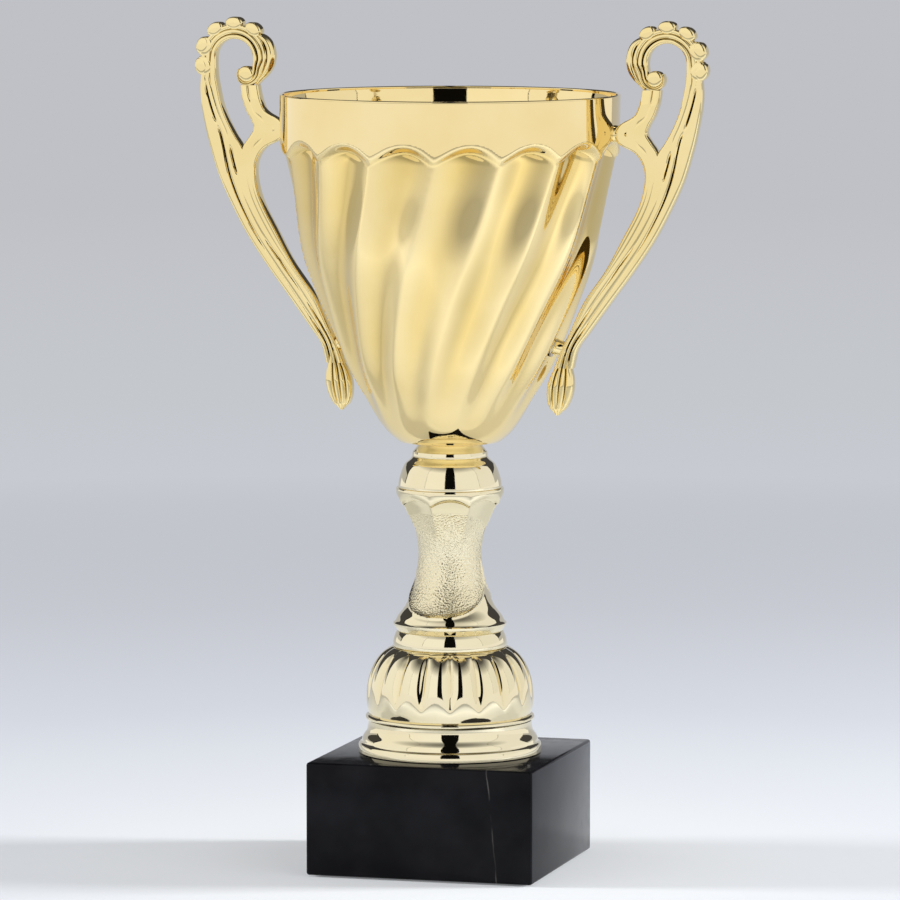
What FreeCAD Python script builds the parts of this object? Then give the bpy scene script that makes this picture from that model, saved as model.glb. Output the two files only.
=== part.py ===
import FreeCAD, Part
import math
import os

# Two-handled presentation cup on a waisted riser and a marble block.
# Millimetres. +Z is up, -Y is the front, +X is the right.
# The origin is the middle of the surface that the felt pads stand on.

V = FreeCAD.Vector
UP = V(0, 0, 1)
ORIGIN = V(0, 0, 0)

# ---- marble block and its pads ----
BLOCK_WIDTH = 82.0
BLOCK_DEPTH = 82.0
BLOCK_HEIGHT = 39.9
BLOCK_CHAMFER = 1.2
PAD_THICKNESS = 0.6
PAD_RADIUS = 6.0
PAD_INSET = 11.0

# ---- tie rod and the hardware on it ----
ROD_RADIUS = 3.0
ROD_CLEARANCE = 0.3
THREAD_CLEARANCE = 0.02
ROD_OVERHANG = 3.0
COUNTERBORE_RADIUS = 14.0
COUNTERBORE_DEPTH = 13.0
BASE_WASHER_RADIUS = 12.0
BASE_WASHER_THICKNESS = 1.6
LOCK_WASHER_RADIUS = 5.9
LOCK_WASHER_THICKNESS = 1.6
LOCK_WASHER_GAP = 1.4
NUT_ACROSS_FLATS = 10.0
NUT_HEIGHT = 5.0
CAP_NUT_HEX_HEIGHT = 5.5
CAP_NUT_DOME_WALL = 1.4
CUP_WASHER_RADIUS = 9.0
CUP_WASHER_THICKNESS = 1.5

# ---- riser: heights of the pieces, from the marble up ----
FOOT_HEIGHT = 13.6
BELL_HEIGHT = 23.9
RING_HEIGHT = 6.0
WAIST_HEIGHT = 46.6
BAND_HEIGHT = 4.0
DOME_HEIGHT = 10.9
COLLAR_HEIGHT = 4.5

# ---- riser: radii ----
FLANGE_RADIUS = 32.4
FLANGE_LIP = 3.4
BEAD_RADIUS = 29.95
BEAD_HEIGHT = 2.0
BELL_RADIUS = 29.6
BELL_TOP_RADIUS = 20.6
RING_RADIUS = 20.1
RING_TOP_RADIUS = 18.7
WAIST_FLANGE_RADIUS = 20.0
WAIST_RADIUS = 11.4
WAIST_TOP_RADIUS = 18.0
BAND_RADIUS = 18.7
BAND_TOP_RADIUS = 19.1
DOME_RADIUS = 18.3
DOME_TOP_RADIUS = 14.4
COLLAR_RADIUS = 13.7
COLLAR_TOP_RADIUS = 12.2

# ---- riser: each piece's spigot sits in the recess of the next ----
SPIGOT_HEIGHT = 1.5
SPIGOT_FIT = 0.1
RECESS_EXTRA = 0.3
WEB_THICKNESS = 2.5
RISER_WALL = 2.4

# ---- cup ----
RIM_RADIUS = 60.0
LIP_RADIUS = 0.9
CUP_WALL = 1.0
CUP_HEIGHT = 123.5
PLAIN_BAND_HEIGHT = 17.5
CUP_FLOOR_RADIUS = 12.2

# ---- handles ----
HANDLE_THICKNESS = 5.5
HANDLE_GAP = 2.0
RING_CENTRE_OUT = 18.8
RING_CENTRE_UP = 11.4
LOOP_RADIUS = 7.0
LOOP_RIM = 4.3
BEAD_RING_RADIUS = 12.55
BALL_RADIUS = 2.35
BALL_COUNT = 5
BALL_PITCH = 34.3
CURL_RADIUS = 3.2
LUG_HEIGHT = 6.4
LUG_DROP = 13.4
BOSS_RADIUS = 3.0
FOOT_BOSS_DROP = 89.3

# ---- handle screws ----
SCREW_RADIUS = 1.5
SCREW_HOLE_CLEARANCE = 0.15
SCREW_HEAD_RADIUS = 2.75
SCREW_HEAD_HEIGHT = 2.0
UPPER_SCREW_REACH = 7.5
LOWER_SCREW_REACH = 5.0
SCREW_WASHER_RADIUS = 3.5
SCREW_WASHER_THICKNESS = 0.5
SCREW_WASHER_SEAT = 0.3

# ---- heights that follow ----
BLOCK_BOTTOM = PAD_THICKNESS
BLOCK_TOP = BLOCK_BOTTOM + BLOCK_HEIGHT
FOOT_TOP = BLOCK_TOP + FOOT_HEIGHT
BELL_TOP = FOOT_TOP + BELL_HEIGHT
RING_TOP = BELL_TOP + RING_HEIGHT
WAIST_TOP = RING_TOP + WAIST_HEIGHT
BAND_TOP = WAIST_TOP + BAND_HEIGHT
DOME_TOP = BAND_TOP + DOME_HEIGHT
CUP_BOTTOM = DOME_TOP + COLLAR_HEIGHT
CUP_TOP = CUP_BOTTOM + CUP_HEIGHT
BAND_LINE = CUP_TOP - PLAIN_BAND_HEIGHT
SEAT_HEIGHT = BLOCK_BOTTOM + COUNTERBORE_DEPTH
ROD_HOLE_RADIUS = ROD_RADIUS + ROD_CLEARANCE
THREAD_RADIUS = ROD_RADIUS + THREAD_CLEARANCE


# ---- helpers ----
def point(radius, height):
    """A point in the XZ half plane."""
    return V(radius, 0, height)


def smooth(points):
    """One smooth edge through the points."""
    curve = Part.BSplineCurve()
    curve.interpolate([point(r, z) for r, z in points])
    return curve.toShape()


def straight(start, end):
    """One straight edge between two (radius, height) pairs."""
    return Part.LineSegment(point(*start), point(*end)).toShape()


def arc(start, middle, end):
    """One circular edge through three (radius, height) pairs."""
    return Part.Arc(point(*start), point(*middle), point(*end)).toShape()


def polyline(pairs):
    """Straight edges that join the (radius, height) pairs in order."""
    return [straight(a, b) for a, b in zip(pairs, pairs[1:])]


def revolve(edges):
    """Turn a closed outline in the XZ plane about the vertical axis."""
    return Part.Face(Part.Wire(edges)).revolve(ORIGIN, UP, 360)


def turned(outline, base, top):
    """Solid of revolution under an outline that runs from base to top, closed at the axis."""
    first = outline[0].Vertexes[0].Point
    last = outline[-1].Vertexes[-1].Point
    closing = polyline([(last.x, top), (0, top), (0, base), (first.x, base)])
    return revolve(outline + closing)


def disc(radius, base, top):
    """Upright cylinder on the axis."""
    return Part.makeCylinder(radius, top - base, V(0, 0, base))


def washer(outer, inner, base, thickness):
    """Flat ring on the axis."""
    return disc(outer, base, base + thickness).cut(disc(inner, base - 1, base + thickness + 1))


def hexagon(across_flats, base, height):
    """Hexagonal prism on the axis, with its outer corners turned off."""
    corner = across_flats / math.sqrt(3)
    ring = [V(corner * math.cos(math.radians(60 * k)), corner * math.sin(math.radians(60 * k)), base)
            for k in range(7)]
    prism = Part.Face(Part.makePolygon(ring)).extrude(V(0, 0, height))
    half = across_flats / 2
    slope = (corner - half) * 0.6
    turned_blank = turned(polyline([(half, base), (corner, base + slope), (corner, base + height - slope),
                                    (half, base + height)]), base, base + height)
    return prism.common(turned_blank)


def inset(points, wall):
    """The (radius, height) pairs of an outline moved inwards by a wall, square to the outline."""
    moved = []
    for i, (r, z) in enumerate(points):
        r0, z0 = points[max(i - 1, 0)]
        r1, z1 = points[min(i + 1, len(points) - 1)]
        length = math.hypot(r1 - r0, z1 - z0)
        moved.append((r - wall * (z1 - z0) / length, z + wall * (r1 - r0) / length))
    return moved


# ---- marble block, pads and clamp hardware ----
def marble_base():
    """Chamfered block with a hole for the rod and a counterbore for its nut."""
    corner = V(-BLOCK_WIDTH / 2, -BLOCK_DEPTH / 2, BLOCK_BOTTOM)
    block = Part.makeBox(BLOCK_WIDTH, BLOCK_DEPTH, BLOCK_HEIGHT, corner)
    block = block.makeChamfer(BLOCK_CHAMFER, block.Edges)
    block = block.cut(disc(ROD_HOLE_RADIUS, 0, BLOCK_TOP + 1))
    return block.cut(disc(COUNTERBORE_RADIUS, 0, SEAT_HEIGHT))


def felt_pad(side_x, side_y):
    """One round felt pad near a corner of the block."""
    centre = V(side_x * (BLOCK_WIDTH / 2 - PAD_INSET), side_y * (BLOCK_DEPTH / 2 - PAD_INSET), 0)
    return Part.makeCylinder(PAD_RADIUS, PAD_THICKNESS, centre)


def base_washer():
    """Wide flat washer against the counterbore's seat."""
    base = SEAT_HEIGHT - BASE_WASHER_THICKNESS
    return washer(BASE_WASHER_RADIUS, ROD_HOLE_RADIUS, base, BASE_WASHER_THICKNESS)


def base_lock_washer():
    """Split spring washer between the flat washer and the nut."""
    base = SEAT_HEIGHT - BASE_WASHER_THICKNESS - LOCK_WASHER_THICKNESS
    ring = washer(LOCK_WASHER_RADIUS, ROD_HOLE_RADIUS, base, LOCK_WASHER_THICKNESS)
    split = Part.makeBox(LOCK_WASHER_RADIUS + 1, LOCK_WASHER_GAP, LOCK_WASHER_THICKNESS + 2,
                         V(0, -LOCK_WASHER_GAP / 2, base - 1))
    return ring.cut(split)


NUT_TOP = SEAT_HEIGHT - BASE_WASHER_THICKNESS - LOCK_WASHER_THICKNESS
NUT_BOTTOM = NUT_TOP - NUT_HEIGHT


def base_nut():
    """Hex nut that pulls the whole stack together."""
    nut = hexagon(NUT_ACROSS_FLATS, NUT_BOTTOM, NUT_HEIGHT)
    return nut.cut(disc(THREAD_RADIUS, NUT_BOTTOM - 1, NUT_TOP + 1))


CUP_FLOOR_TOP = CUP_BOTTOM + CUP_WALL
CAP_NUT_BASE = CUP_FLOOR_TOP + CUP_WASHER_THICKNESS
CAP_HOLLOW_TOP = CAP_NUT_BASE + CAP_NUT_HEX_HEIGHT
CAP_DOME_RADIUS = ROD_RADIUS + CAP_NUT_DOME_WALL
ROD_TOP = CAP_HOLLOW_TOP - 0.5
ROD_BOTTOM = NUT_BOTTOM - ROD_OVERHANG


def tie_rod():
    """Threaded rod, shown at its major diameter, with chamfered ends."""
    rod = disc(ROD_RADIUS, ROD_BOTTOM, ROD_TOP)
    ends = [e for e in rod.Edges if isinstance(e.Curve, Part.Circle)]
    return rod.makeChamfer(ROD_RADIUS * 0.2, ends)


def cup_washer():
    """Wide washer that spreads the cap nut's load over the cup's floor."""
    return washer(CUP_WASHER_RADIUS, ROD_HOLE_RADIUS, CUP_FLOOR_TOP, CUP_WASHER_THICKNESS)


def cup_nut():
    """Closed cap nut inside the cup."""
    skirt = hexagon(NUT_ACROSS_FLATS, CAP_NUT_BASE, CAP_NUT_HEX_HEIGHT)
    dome = Part.makeSphere(CAP_DOME_RADIUS, V(0, 0, CAP_HOLLOW_TOP))
    upper_half = dome.common(disc(CAP_DOME_RADIUS + 1, CAP_HOLLOW_TOP, CAP_HOLLOW_TOP + CAP_DOME_RADIUS + 1))
    nut = skirt.fuse(upper_half).removeSplitter()
    return nut.cut(disc(THREAD_RADIUS, CAP_NUT_BASE - 1, CAP_HOLLOW_TOP))


# ---- riser ----
def riser_piece(outline, base, top, recess_radius, hollow_radius, spigot_radius):
    """A turned moulding that is open below.

    The recess takes the spigot of the piece underneath, the hollow lightens it, a web at the
    top carries the clamp load, and the spigot centres the piece above. None leaves one out.
    """
    piece = turned(outline, base, top)
    if spigot_radius is not None:
        piece = piece.fuse(disc(spigot_radius, top, top + SPIGOT_HEIGHT))
    if recess_radius is not None:
        piece = piece.cut(disc(recess_radius + SPIGOT_FIT, base, base + SPIGOT_HEIGHT + RECESS_EXTRA))
    if hollow_radius is not None:
        piece = piece.cut(disc(hollow_radius, base, top - WEB_THICKNESS))
    piece = piece.cut(disc(ROD_HOLE_RADIUS, base - 1, top + SPIGOT_HEIGHT + 1))
    return piece.removeSplitter()


FOOT_SPIGOT = BEAD_RADIUS - 8.0
BELL_SPIGOT = RING_TOP_RADIUS - 4.5
RING_SPIGOT = WAIST_FLANGE_RADIUS - 7.0
WAIST_SPIGOT = WAIST_TOP_RADIUS - 7.0
BAND_SPIGOT = DOME_RADIUS - 5.5
DOME_SPIGOT = COLLAR_TOP_RADIUS - 4.0


def riser_foot():
    """Flange with an upright lip, a cove above it and a bead at the top."""
    lip_top = BLOCK_TOP + FLANGE_LIP
    bead_base = FOOT_TOP - BEAD_HEIGHT
    cove_radius = BEAD_RADIUS - 1.0
    cove_height = bead_base - lip_top
    outline = [
        straight((FLANGE_RADIUS, BLOCK_TOP), (FLANGE_RADIUS, lip_top - 0.6)),
        straight((FLANGE_RADIUS, lip_top - 0.6), (FLANGE_RADIUS - 0.6, lip_top)),
        smooth([(FLANGE_RADIUS - 0.6, lip_top),
                (cove_radius + 1.0, lip_top + cove_height * 0.4),
                (cove_radius, bead_base)]),
        arc((cove_radius, bead_base), (BEAD_RADIUS, bead_base + BEAD_HEIGHT / 2), (cove_radius, FOOT_TOP)),
    ]
    return riser_piece(outline, BLOCK_TOP, FOOT_TOP, None, cove_radius - RISER_WALL, FOOT_SPIGOT)


def riser_bell():
    """Full round bell that draws in to the ring."""
    outline = [smooth([
        (BELL_RADIUS - 0.7, FOOT_TOP),
        (BELL_RADIUS, FOOT_TOP + BELL_HEIGHT * 0.26),
        (BELL_RADIUS * 0.95, FOOT_TOP + BELL_HEIGHT * 0.61),
        (BELL_RADIUS * 0.85, FOOT_TOP + BELL_HEIGHT * 0.84),
        (BELL_TOP_RADIUS, BELL_TOP),
    ])]
    return riser_piece(outline, FOOT_TOP, BELL_TOP, FOOT_SPIGOT, BELL_TOP_RADIUS - RISER_WALL, BELL_SPIGOT)


def riser_ring():
    """Plain ring that tapers towards its top."""
    outline = [
        straight((RING_RADIUS, BELL_TOP), (RING_RADIUS, BELL_TOP + RING_HEIGHT * 0.3)),
        smooth([(RING_RADIUS, BELL_TOP + RING_HEIGHT * 0.3),
                (RING_RADIUS - 0.4, BELL_TOP + RING_HEIGHT * 0.6),
                (RING_TOP_RADIUS, RING_TOP)]),
    ]
    return riser_piece(outline, BELL_TOP, RING_TOP, BELL_SPIGOT, None, RING_SPIGOT)


def riser_waist():
    """Waisted column, flared to a thin flange below and to the band above."""
    outline = [
        straight((RING_TOP_RADIUS, RING_TOP), (WAIST_FLANGE_RADIUS, RING_TOP + 1.6)),
        straight((WAIST_FLANGE_RADIUS, RING_TOP + 1.6), (WAIST_FLANGE_RADIUS, RING_TOP + 2.9)),
        smooth([
            (WAIST_FLANGE_RADIUS, RING_TOP + 2.9),
            (WAIST_RADIUS + 4.5, RING_TOP + WAIST_HEIGHT * 0.175),
            (WAIST_RADIUS + 1.1, RING_TOP + WAIST_HEIGHT * 0.36),
            (WAIST_RADIUS, RING_TOP + WAIST_HEIGHT * 0.565),
            (WAIST_RADIUS + 1.0, RING_TOP + WAIST_HEIGHT * 0.73),
            (WAIST_RADIUS + 3.2, RING_TOP + WAIST_HEIGHT * 0.885),
            (WAIST_TOP_RADIUS, WAIST_TOP),
        ]),
    ]
    hollow = WAIST_RADIUS - RISER_WALL
    return riser_piece(outline, RING_TOP, WAIST_TOP, RING_SPIGOT, hollow, WAIST_SPIGOT)


def riser_band():
    """Short band that flares upwards."""
    outline = polyline([
        (BAND_RADIUS, WAIST_TOP),
        (BAND_TOP_RADIUS, BAND_TOP - 0.9),
        (BAND_TOP_RADIUS, BAND_TOP - 0.5),
        (DOME_RADIUS, BAND_TOP),
    ])
    return riser_piece(outline, WAIST_TOP, BAND_TOP, WAIST_SPIGOT, None, BAND_SPIGOT)


def riser_dome():
    """Domed cap over the band."""
    outline = [smooth([
        (DOME_RADIUS, BAND_TOP),
        (DOME_RADIUS - 0.3, BAND_TOP + DOME_HEIGHT * 0.25),
        (DOME_RADIUS - 1.4, BAND_TOP + DOME_HEIGHT * 0.6),
        (DOME_TOP_RADIUS, DOME_TOP),
    ])]
    return riser_piece(outline, BAND_TOP, DOME_TOP, BAND_SPIGOT, BAND_SPIGOT - 2, DOME_SPIGOT)


def cup_collar():
    """Stepped collar between the dome and the cup's floor."""
    outline = polyline([
        (COLLAR_RADIUS, DOME_TOP),
        (COLLAR_RADIUS, DOME_TOP + COLLAR_HEIGHT * 0.45),
        (COLLAR_TOP_RADIUS, DOME_TOP + COLLAR_HEIGHT * 0.65),
        (COLLAR_TOP_RADIUS, CUP_BOTTOM),
    ])
    return riser_piece(outline, DOME_TOP, CUP_BOTTOM, DOME_SPIGOT, None, None)


# ---- cup ----
BAND_FOOT_RADIUS = RIM_RADIUS - 0.6
FLUTED_HEIGHT = BAND_LINE - CUP_BOTTOM
CUP_SIDE = [
    (RIM_RADIUS * 0.29, CUP_BOTTOM + FLUTED_HEIGHT * 0.012),
    (RIM_RADIUS * 0.345, CUP_BOTTOM + FLUTED_HEIGHT * 0.045),
    (RIM_RADIUS * 0.487, CUP_BOTTOM + FLUTED_HEIGHT * 0.15),
    (RIM_RADIUS * 0.615, CUP_BOTTOM + FLUTED_HEIGHT * 0.27),
    (RIM_RADIUS * 0.745, CUP_BOTTOM + FLUTED_HEIGHT * 0.45),
    (RIM_RADIUS * 0.858, CUP_BOTTOM + FLUTED_HEIGHT * 0.63),
    (RIM_RADIUS * 0.935, CUP_BOTTOM + FLUTED_HEIGHT * 0.85),
    (RIM_RADIUS * 0.968, BAND_LINE - 3.0),
    (BAND_FOOT_RADIUS, BAND_LINE),
]
LIP_CENTRE = CUP_TOP - LIP_RADIUS


def cup_outer():
    """The cup's outside as one full solid, without the rolled lip."""
    outline = [
        straight((CUP_FLOOR_RADIUS, CUP_BOTTOM), CUP_SIDE[0]),
        smooth(CUP_SIDE),
        straight((BAND_FOOT_RADIUS, BAND_LINE), (RIM_RADIUS - LIP_RADIUS / 2, LIP_CENTRE)),
    ]
    return turned(outline, CUP_BOTTOM, LIP_CENTRE)


def cup_inner():
    """The space inside the cup, carried a little past the lip."""
    side = inset(CUP_SIDE, CUP_WALL)
    mouth = RIM_RADIUS - LIP_RADIUS / 2 - CUP_WALL
    outline = [
        straight((side[0][0] - 2, CUP_FLOOR_TOP), side[0]),
        smooth(side),
        straight(side[-1], (mouth, LIP_CENTRE)),
        straight((mouth, LIP_CENTRE), (mouth, CUP_TOP + 1)),
    ]
    return turned(outline, CUP_FLOOR_TOP, CUP_TOP + 1)


def screw_axes():
    """Start, direction and reach of the two handle screws on the +X side.

    Each start is on the cup's outside, and each direction is square to the cup there.
    """
    upper_height = CUP_TOP - LUG_DROP
    share = (upper_height - BAND_LINE) / (LIP_CENTRE - BAND_LINE)
    upper_radius = BAND_FOOT_RADIUS + share * (RIM_RADIUS - LIP_RADIUS / 2 - BAND_FOOT_RADIUS)
    lower_height = CUP_TOP - FOOT_BOSS_DROP
    curve = smooth(CUP_SIDE).Curve
    hit = curve.intersect(Part.LineSegment(point(0, lower_height), point(RIM_RADIUS, lower_height)))[0]
    lower = V(hit.X, 0, hit.Z)
    tangent = curve.tangent(curve.parameter(lower))[0]
    square = V(abs(tangent.z), 0, -abs(tangent.x))
    return [(point(upper_radius, upper_height), V(1, 0, 0), UPPER_SCREW_REACH),
            (lower, square, LOWER_SCREW_REACH)]


SCREW_AXES = screw_axes()
LOWER_POINT = SCREW_AXES[1][0]


def both_sides(shape):
    """The shape and its copy turned half round the axis."""
    other = shape.copy()
    other.rotate(ORIGIN, UP, 180)
    return [shape, other]


def cup_bowl():
    """Thin cup with a rolled lip, a rod hole in its floor and four screw holes."""
    cup = cup_outer().cut(cup_inner())
    lip = Part.makeTorus(RIM_RADIUS - LIP_RADIUS, LIP_RADIUS, V(0, 0, LIP_CENTRE))
    cup = cup.fuse(lip)
    cup = cup.cut(disc(ROD_HOLE_RADIUS, CUP_BOTTOM - 1, CUP_FLOOR_TOP + 1))
    hole_radius = SCREW_RADIUS + SCREW_HOLE_CLEARANCE
    for start, direction, reach in SCREW_AXES:
        drill = Part.makeCylinder(hole_radius, 3 * CUP_WALL, start - direction * 2 * CUP_WALL, direction)
        for copy in both_sides(drill):
            cup = cup.cut(copy)
    return cup


# ---- handles ----
RING_X = RIM_RADIUS + RING_CENTRE_OUT
RING_Z = CUP_TOP + RING_CENTRE_UP
LUG_Z = CUP_TOP - LUG_DROP
RING_OUTER = LOOP_RADIUS + LOOP_RIM


def on_ring(radius, degrees):
    """A (radius, height) pair on a circle round the loop's centre."""
    angle = math.radians(degrees)
    return (RING_X + radius * math.cos(angle), RING_Z + radius * math.sin(angle))


def handle_outline():
    """Outside edge of the handle: arm, loop, leaf, neck, lug, inside of the arm and foot."""
    foot_x = LOWER_POINT.x
    foot_z = LOWER_POINT.z
    tip = (foot_x + 0.2, foot_z - 23.4)
    crown_start = on_ring(RING_OUTER, -20)
    leaf_top = on_ring(RING_OUTER, 150)
    leaf_bottom = on_ring(RING_OUTER, 215)
    lug_root = RIM_RADIUS + 2.6
    arm_outside = smooth([
        tip,
        (foot_x + 4.8, foot_z - 16.6),
        (foot_x + 6.1, foot_z - 8.6),
        (foot_x + 11.4, foot_z + 5.6),
        (foot_x + 24.0, foot_z + 22.7),
        (foot_x + 35.5, foot_z + 39.4),
        (RING_X + 6.7, LUG_Z - 14.1),
        (RING_X + RING_OUTER + 0.6, LUG_Z + 5.7),
        crown_start,
    ])
    crown = arc(crown_start, on_ring(RING_OUTER, 65), leaf_top)
    leaf = arc(leaf_top, on_ring(RING_OUTER + 3.6, 176), leaf_bottom)
    neck = smooth([leaf_bottom, (RING_X - 10.4, LUG_Z + 8.5), (lug_root, LUG_Z + LUG_HEIGHT / 2)])
    lug = polyline([
        (lug_root, LUG_Z + LUG_HEIGHT / 2),
        (RIM_RADIUS - 4, LUG_Z + LUG_HEIGHT / 2),
        (RIM_RADIUS - 4, LUG_Z - LUG_HEIGHT / 2),
        (lug_root, LUG_Z - LUG_HEIGHT / 2),
    ])
    arm_inside = smooth([
        (lug_root, LUG_Z - LUG_HEIGHT / 2),
        (lug_root + 6.4, LUG_Z - 9.6),
        (lug_root + 8.1, LUG_Z - 16.5),
        (lug_root + 5.0, LUG_Z - 27.8),
        (lug_root - 4.4, LUG_Z - 44.6),
        (foot_x + 6.9, foot_z + 11.9),
        (foot_x + HANDLE_GAP * 1.1, foot_z + 0.5),
        (foot_x - 1.8, foot_z - 8.2),
        (foot_x - 3.4, foot_z - 14.5),
        tip,
    ])
    return Part.Wire([arm_outside, crown, leaf, neck] + lug + [arm_inside])


def loop_outline():
    """Edge of the opening in the loop: round above, drawn to a point below."""
    left = on_ring(LOOP_RADIUS, -10)
    right = on_ring(LOOP_RADIUS, 180)
    cusp = (RING_X - 3.1, LUG_Z - 6.7)
    round_top = arc(left, on_ring(LOOP_RADIUS, 85), right)
    right_side = smooth([
        right,
        (RING_X - 4.0, RING_Z - 9.0),
        (RING_X - 4.3, LUG_Z + 6.1),
        (RING_X - 7.3, LUG_Z + 1.2),
        cusp,
    ])
    left_side = smooth([cusp, (RING_X + 2.4, LUG_Z + 3.1), (RING_X + 5.8, LUG_Z + 14.3), left])
    return Part.Wire([round_top, right_side, left_side])


def plate(wire):
    """Extrude an outline in the XZ plane to the handle's thickness, centred on it."""
    solid = Part.Face(wire).extrude(V(0, HANDLE_THICKNESS, 0))
    solid.translate(V(0, -HANDLE_THICKNESS / 2, 0))
    return solid


def round_plate(centre, radius):
    """A disc of the handle's thickness in the XZ plane."""
    return Part.makeCylinder(radius, HANDLE_THICKNESS, V(centre[0], -HANDLE_THICKNESS / 2, centre[1]),
                             V(0, 1, 0))


def handle():
    """The handle on the +X side: pierced plate, balls, curl, bosses and tapped holes."""
    body = plate(handle_outline()).cut(plate(loop_outline()))
    for k in range(BALL_COUNT):
        centre = on_ring(BEAD_RING_RADIUS, 90 + BALL_PITCH * (1 - k))
        body = body.fuse(round_plate(centre, BALL_RADIUS))
    body = body.fuse(round_plate((RING_X - 4.4, RING_Z - 4.8), CURL_RADIUS))
    for start, direction, reach in SCREW_AXES:
        boss = Part.makeCylinder(BOSS_RADIUS, HANDLE_GAP * 2.0 + CUP_WALL, start - direction * CUP_WALL, direction)
        body = body.fuse(boss)
    body = body.removeSplitter().cut(cup_outer())
    for start, direction, reach in SCREW_AXES:
        tapped = Part.makeCylinder(SCREW_RADIUS + THREAD_CLEARANCE, reach + 1.5, start - direction, direction)
        body = body.cut(tapped)
    return body


def screw_and_washer(start, direction, reach):
    """One handle screw and its washer, seated on the inside of the cup's wall."""
    seat = start - direction * (CUP_WALL + SCREW_WASHER_SEAT)
    head_base = seat - direction * SCREW_WASHER_THICKNESS
    shank = Part.makeCylinder(SCREW_RADIUS, (start - head_base).Length + reach, head_base, direction)
    head = Part.makeCylinder(SCREW_HEAD_RADIUS, SCREW_HEAD_HEIGHT, head_base, direction * -1)
    rounded = head.makeFillet(SCREW_HEAD_HEIGHT * 0.45, [head.Edges[0]])
    ring = Part.makeCylinder(SCREW_WASHER_RADIUS, SCREW_WASHER_THICKNESS, seat, direction * -1)
    bore = Part.makeCylinder(SCREW_RADIUS + SCREW_HOLE_CLEARANCE, SCREW_WASHER_THICKNESS + 2,
                             seat + direction, direction * -1)
    return shank.fuse(rounded).removeSplitter(), ring.cut(bore)


def handle_hardware():
    """All four screws and all four washers, as two lists of separate solids."""
    screws = []
    washers = []
    for start, direction, reach in SCREW_AXES:
        screw, ring = screw_and_washer(start, direction, reach)
        screws += both_sides(screw)
        washers += both_sides(ring)
    return screws, washers


# ---- write one file per piece ----
def export(shape, node):
    """Check a piece and write it."""
    for solid in shape.Solids:
        assert solid.isValid() and solid.isClosed(), node
    assert shape.Solids, node
    result = shape.Solids[0] if len(shape.Solids) == 1 else Part.makeCompound(shape.Solids)
    result.exportStep("parts/" + node + ".step")
    print(node, len(shape.Solids), round(result.Volume, 1))


def main():
    """Build every piece and write it to the parts folder."""
    os.makedirs("parts", exist_ok=True)
    corners = [(-1, -1), (1, -1), (1, 1), (-1, 1)]
    for number, (side_x, side_y) in enumerate(corners, start=1):
        export(felt_pad(side_x, side_y), "felt_pad_" + str(number))
    pieces = [
        marble_base, tie_rod, base_washer, base_lock_washer, base_nut,
        riser_foot, riser_bell, riser_ring, riser_waist, riser_band, riser_dome,
        cup_collar, cup_bowl, cup_washer, cup_nut,
    ]
    for piece in pieces:
        export(piece(), piece.__name__)
    right, left = both_sides(handle())
    export(right, "handle_right")
    export(left, "handle_left")
    screws, washers = handle_hardware()
    export(Part.makeCompound(screws), "handle_screws")
    export(Part.makeCompound(washers), "handle_washers")


main()
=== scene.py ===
import logging
import math
from dataclasses import dataclass, field
from enum import Enum
from typing import Callable, Sequence

import bmesh
import bpy
from bmesh.types import BMesh
from mathutils import Matrix, Vector
from mathutils.geometry import interpolate_bezier


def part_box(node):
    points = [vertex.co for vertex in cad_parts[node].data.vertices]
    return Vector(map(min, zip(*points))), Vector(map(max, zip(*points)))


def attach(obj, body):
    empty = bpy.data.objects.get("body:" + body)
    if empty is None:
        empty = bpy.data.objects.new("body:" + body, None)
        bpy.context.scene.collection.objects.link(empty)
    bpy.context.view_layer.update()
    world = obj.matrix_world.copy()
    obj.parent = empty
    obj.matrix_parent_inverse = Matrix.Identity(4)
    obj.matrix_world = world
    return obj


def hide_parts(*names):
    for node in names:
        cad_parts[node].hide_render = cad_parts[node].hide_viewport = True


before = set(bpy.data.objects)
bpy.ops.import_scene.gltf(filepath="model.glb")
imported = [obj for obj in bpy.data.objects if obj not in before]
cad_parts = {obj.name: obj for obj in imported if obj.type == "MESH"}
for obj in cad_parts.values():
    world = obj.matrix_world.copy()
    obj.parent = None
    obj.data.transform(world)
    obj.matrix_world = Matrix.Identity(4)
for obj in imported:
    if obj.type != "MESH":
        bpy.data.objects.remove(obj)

Pair = tuple[float, float]
Keys = Sequence[Pair]
Colour = tuple[float, float, float]
Socket = bpy.types.NodeSocket
Material = bpy.types.Material

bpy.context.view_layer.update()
MM = 0.001
CREASE = math.radians(34)
FRONT = -90.0
MERGE = 1e-4
LOG = logging.getLogger("cup_trophy")


# ---------------------------------------------------------------- measures and outlines
def low(node: str) -> float:
    """Height of a node's lowest point, in millimetres."""
    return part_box(node)[0].z / MM


def high(node: str) -> float:
    """Height of a node's highest point, in millimetres."""
    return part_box(node)[1].z / MM


def reach(node: str) -> float:
    """Distance from the axis to a node's furthest point along Y, in millimetres."""
    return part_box(node)[1].y / MM


def soft_step(value: float) -> float:
    """A smooth rise from 0 to 1 as the value goes from 0 to 1."""
    share = min(max(value, 0.0), 1.0)
    return share * share * (3.0 - 2.0 * share)


def blend(start: float, end: float, share: float) -> float:
    """The value a share of the way from start to end."""
    return start + (end - start) * share


def keyed(keys: Keys, place: float) -> float:
    """Read a value from (place, value) keys.

    Args:
        keys: pairs in rising order of place.
        place: where to read.

    Returns:
        The value there, straight between keys and level beyond them.
    """
    if place <= keys[0][0]:
        return keys[0][1]
    for (a, first), (b, second) in zip(keys, keys[1:]):
        if place <= b:
            return blend(first, second, (place - a) / (b - a))
    return keys[-1][1]


def polar(radius: float, degrees: float, centre: Pair = (0.0, 0.0)) -> Pair:
    """The pair at a radius and an angle round a centre."""
    angle = math.radians(degrees)
    return (centre[0] + radius * math.cos(angle), centre[1] + radius * math.sin(angle))


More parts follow.
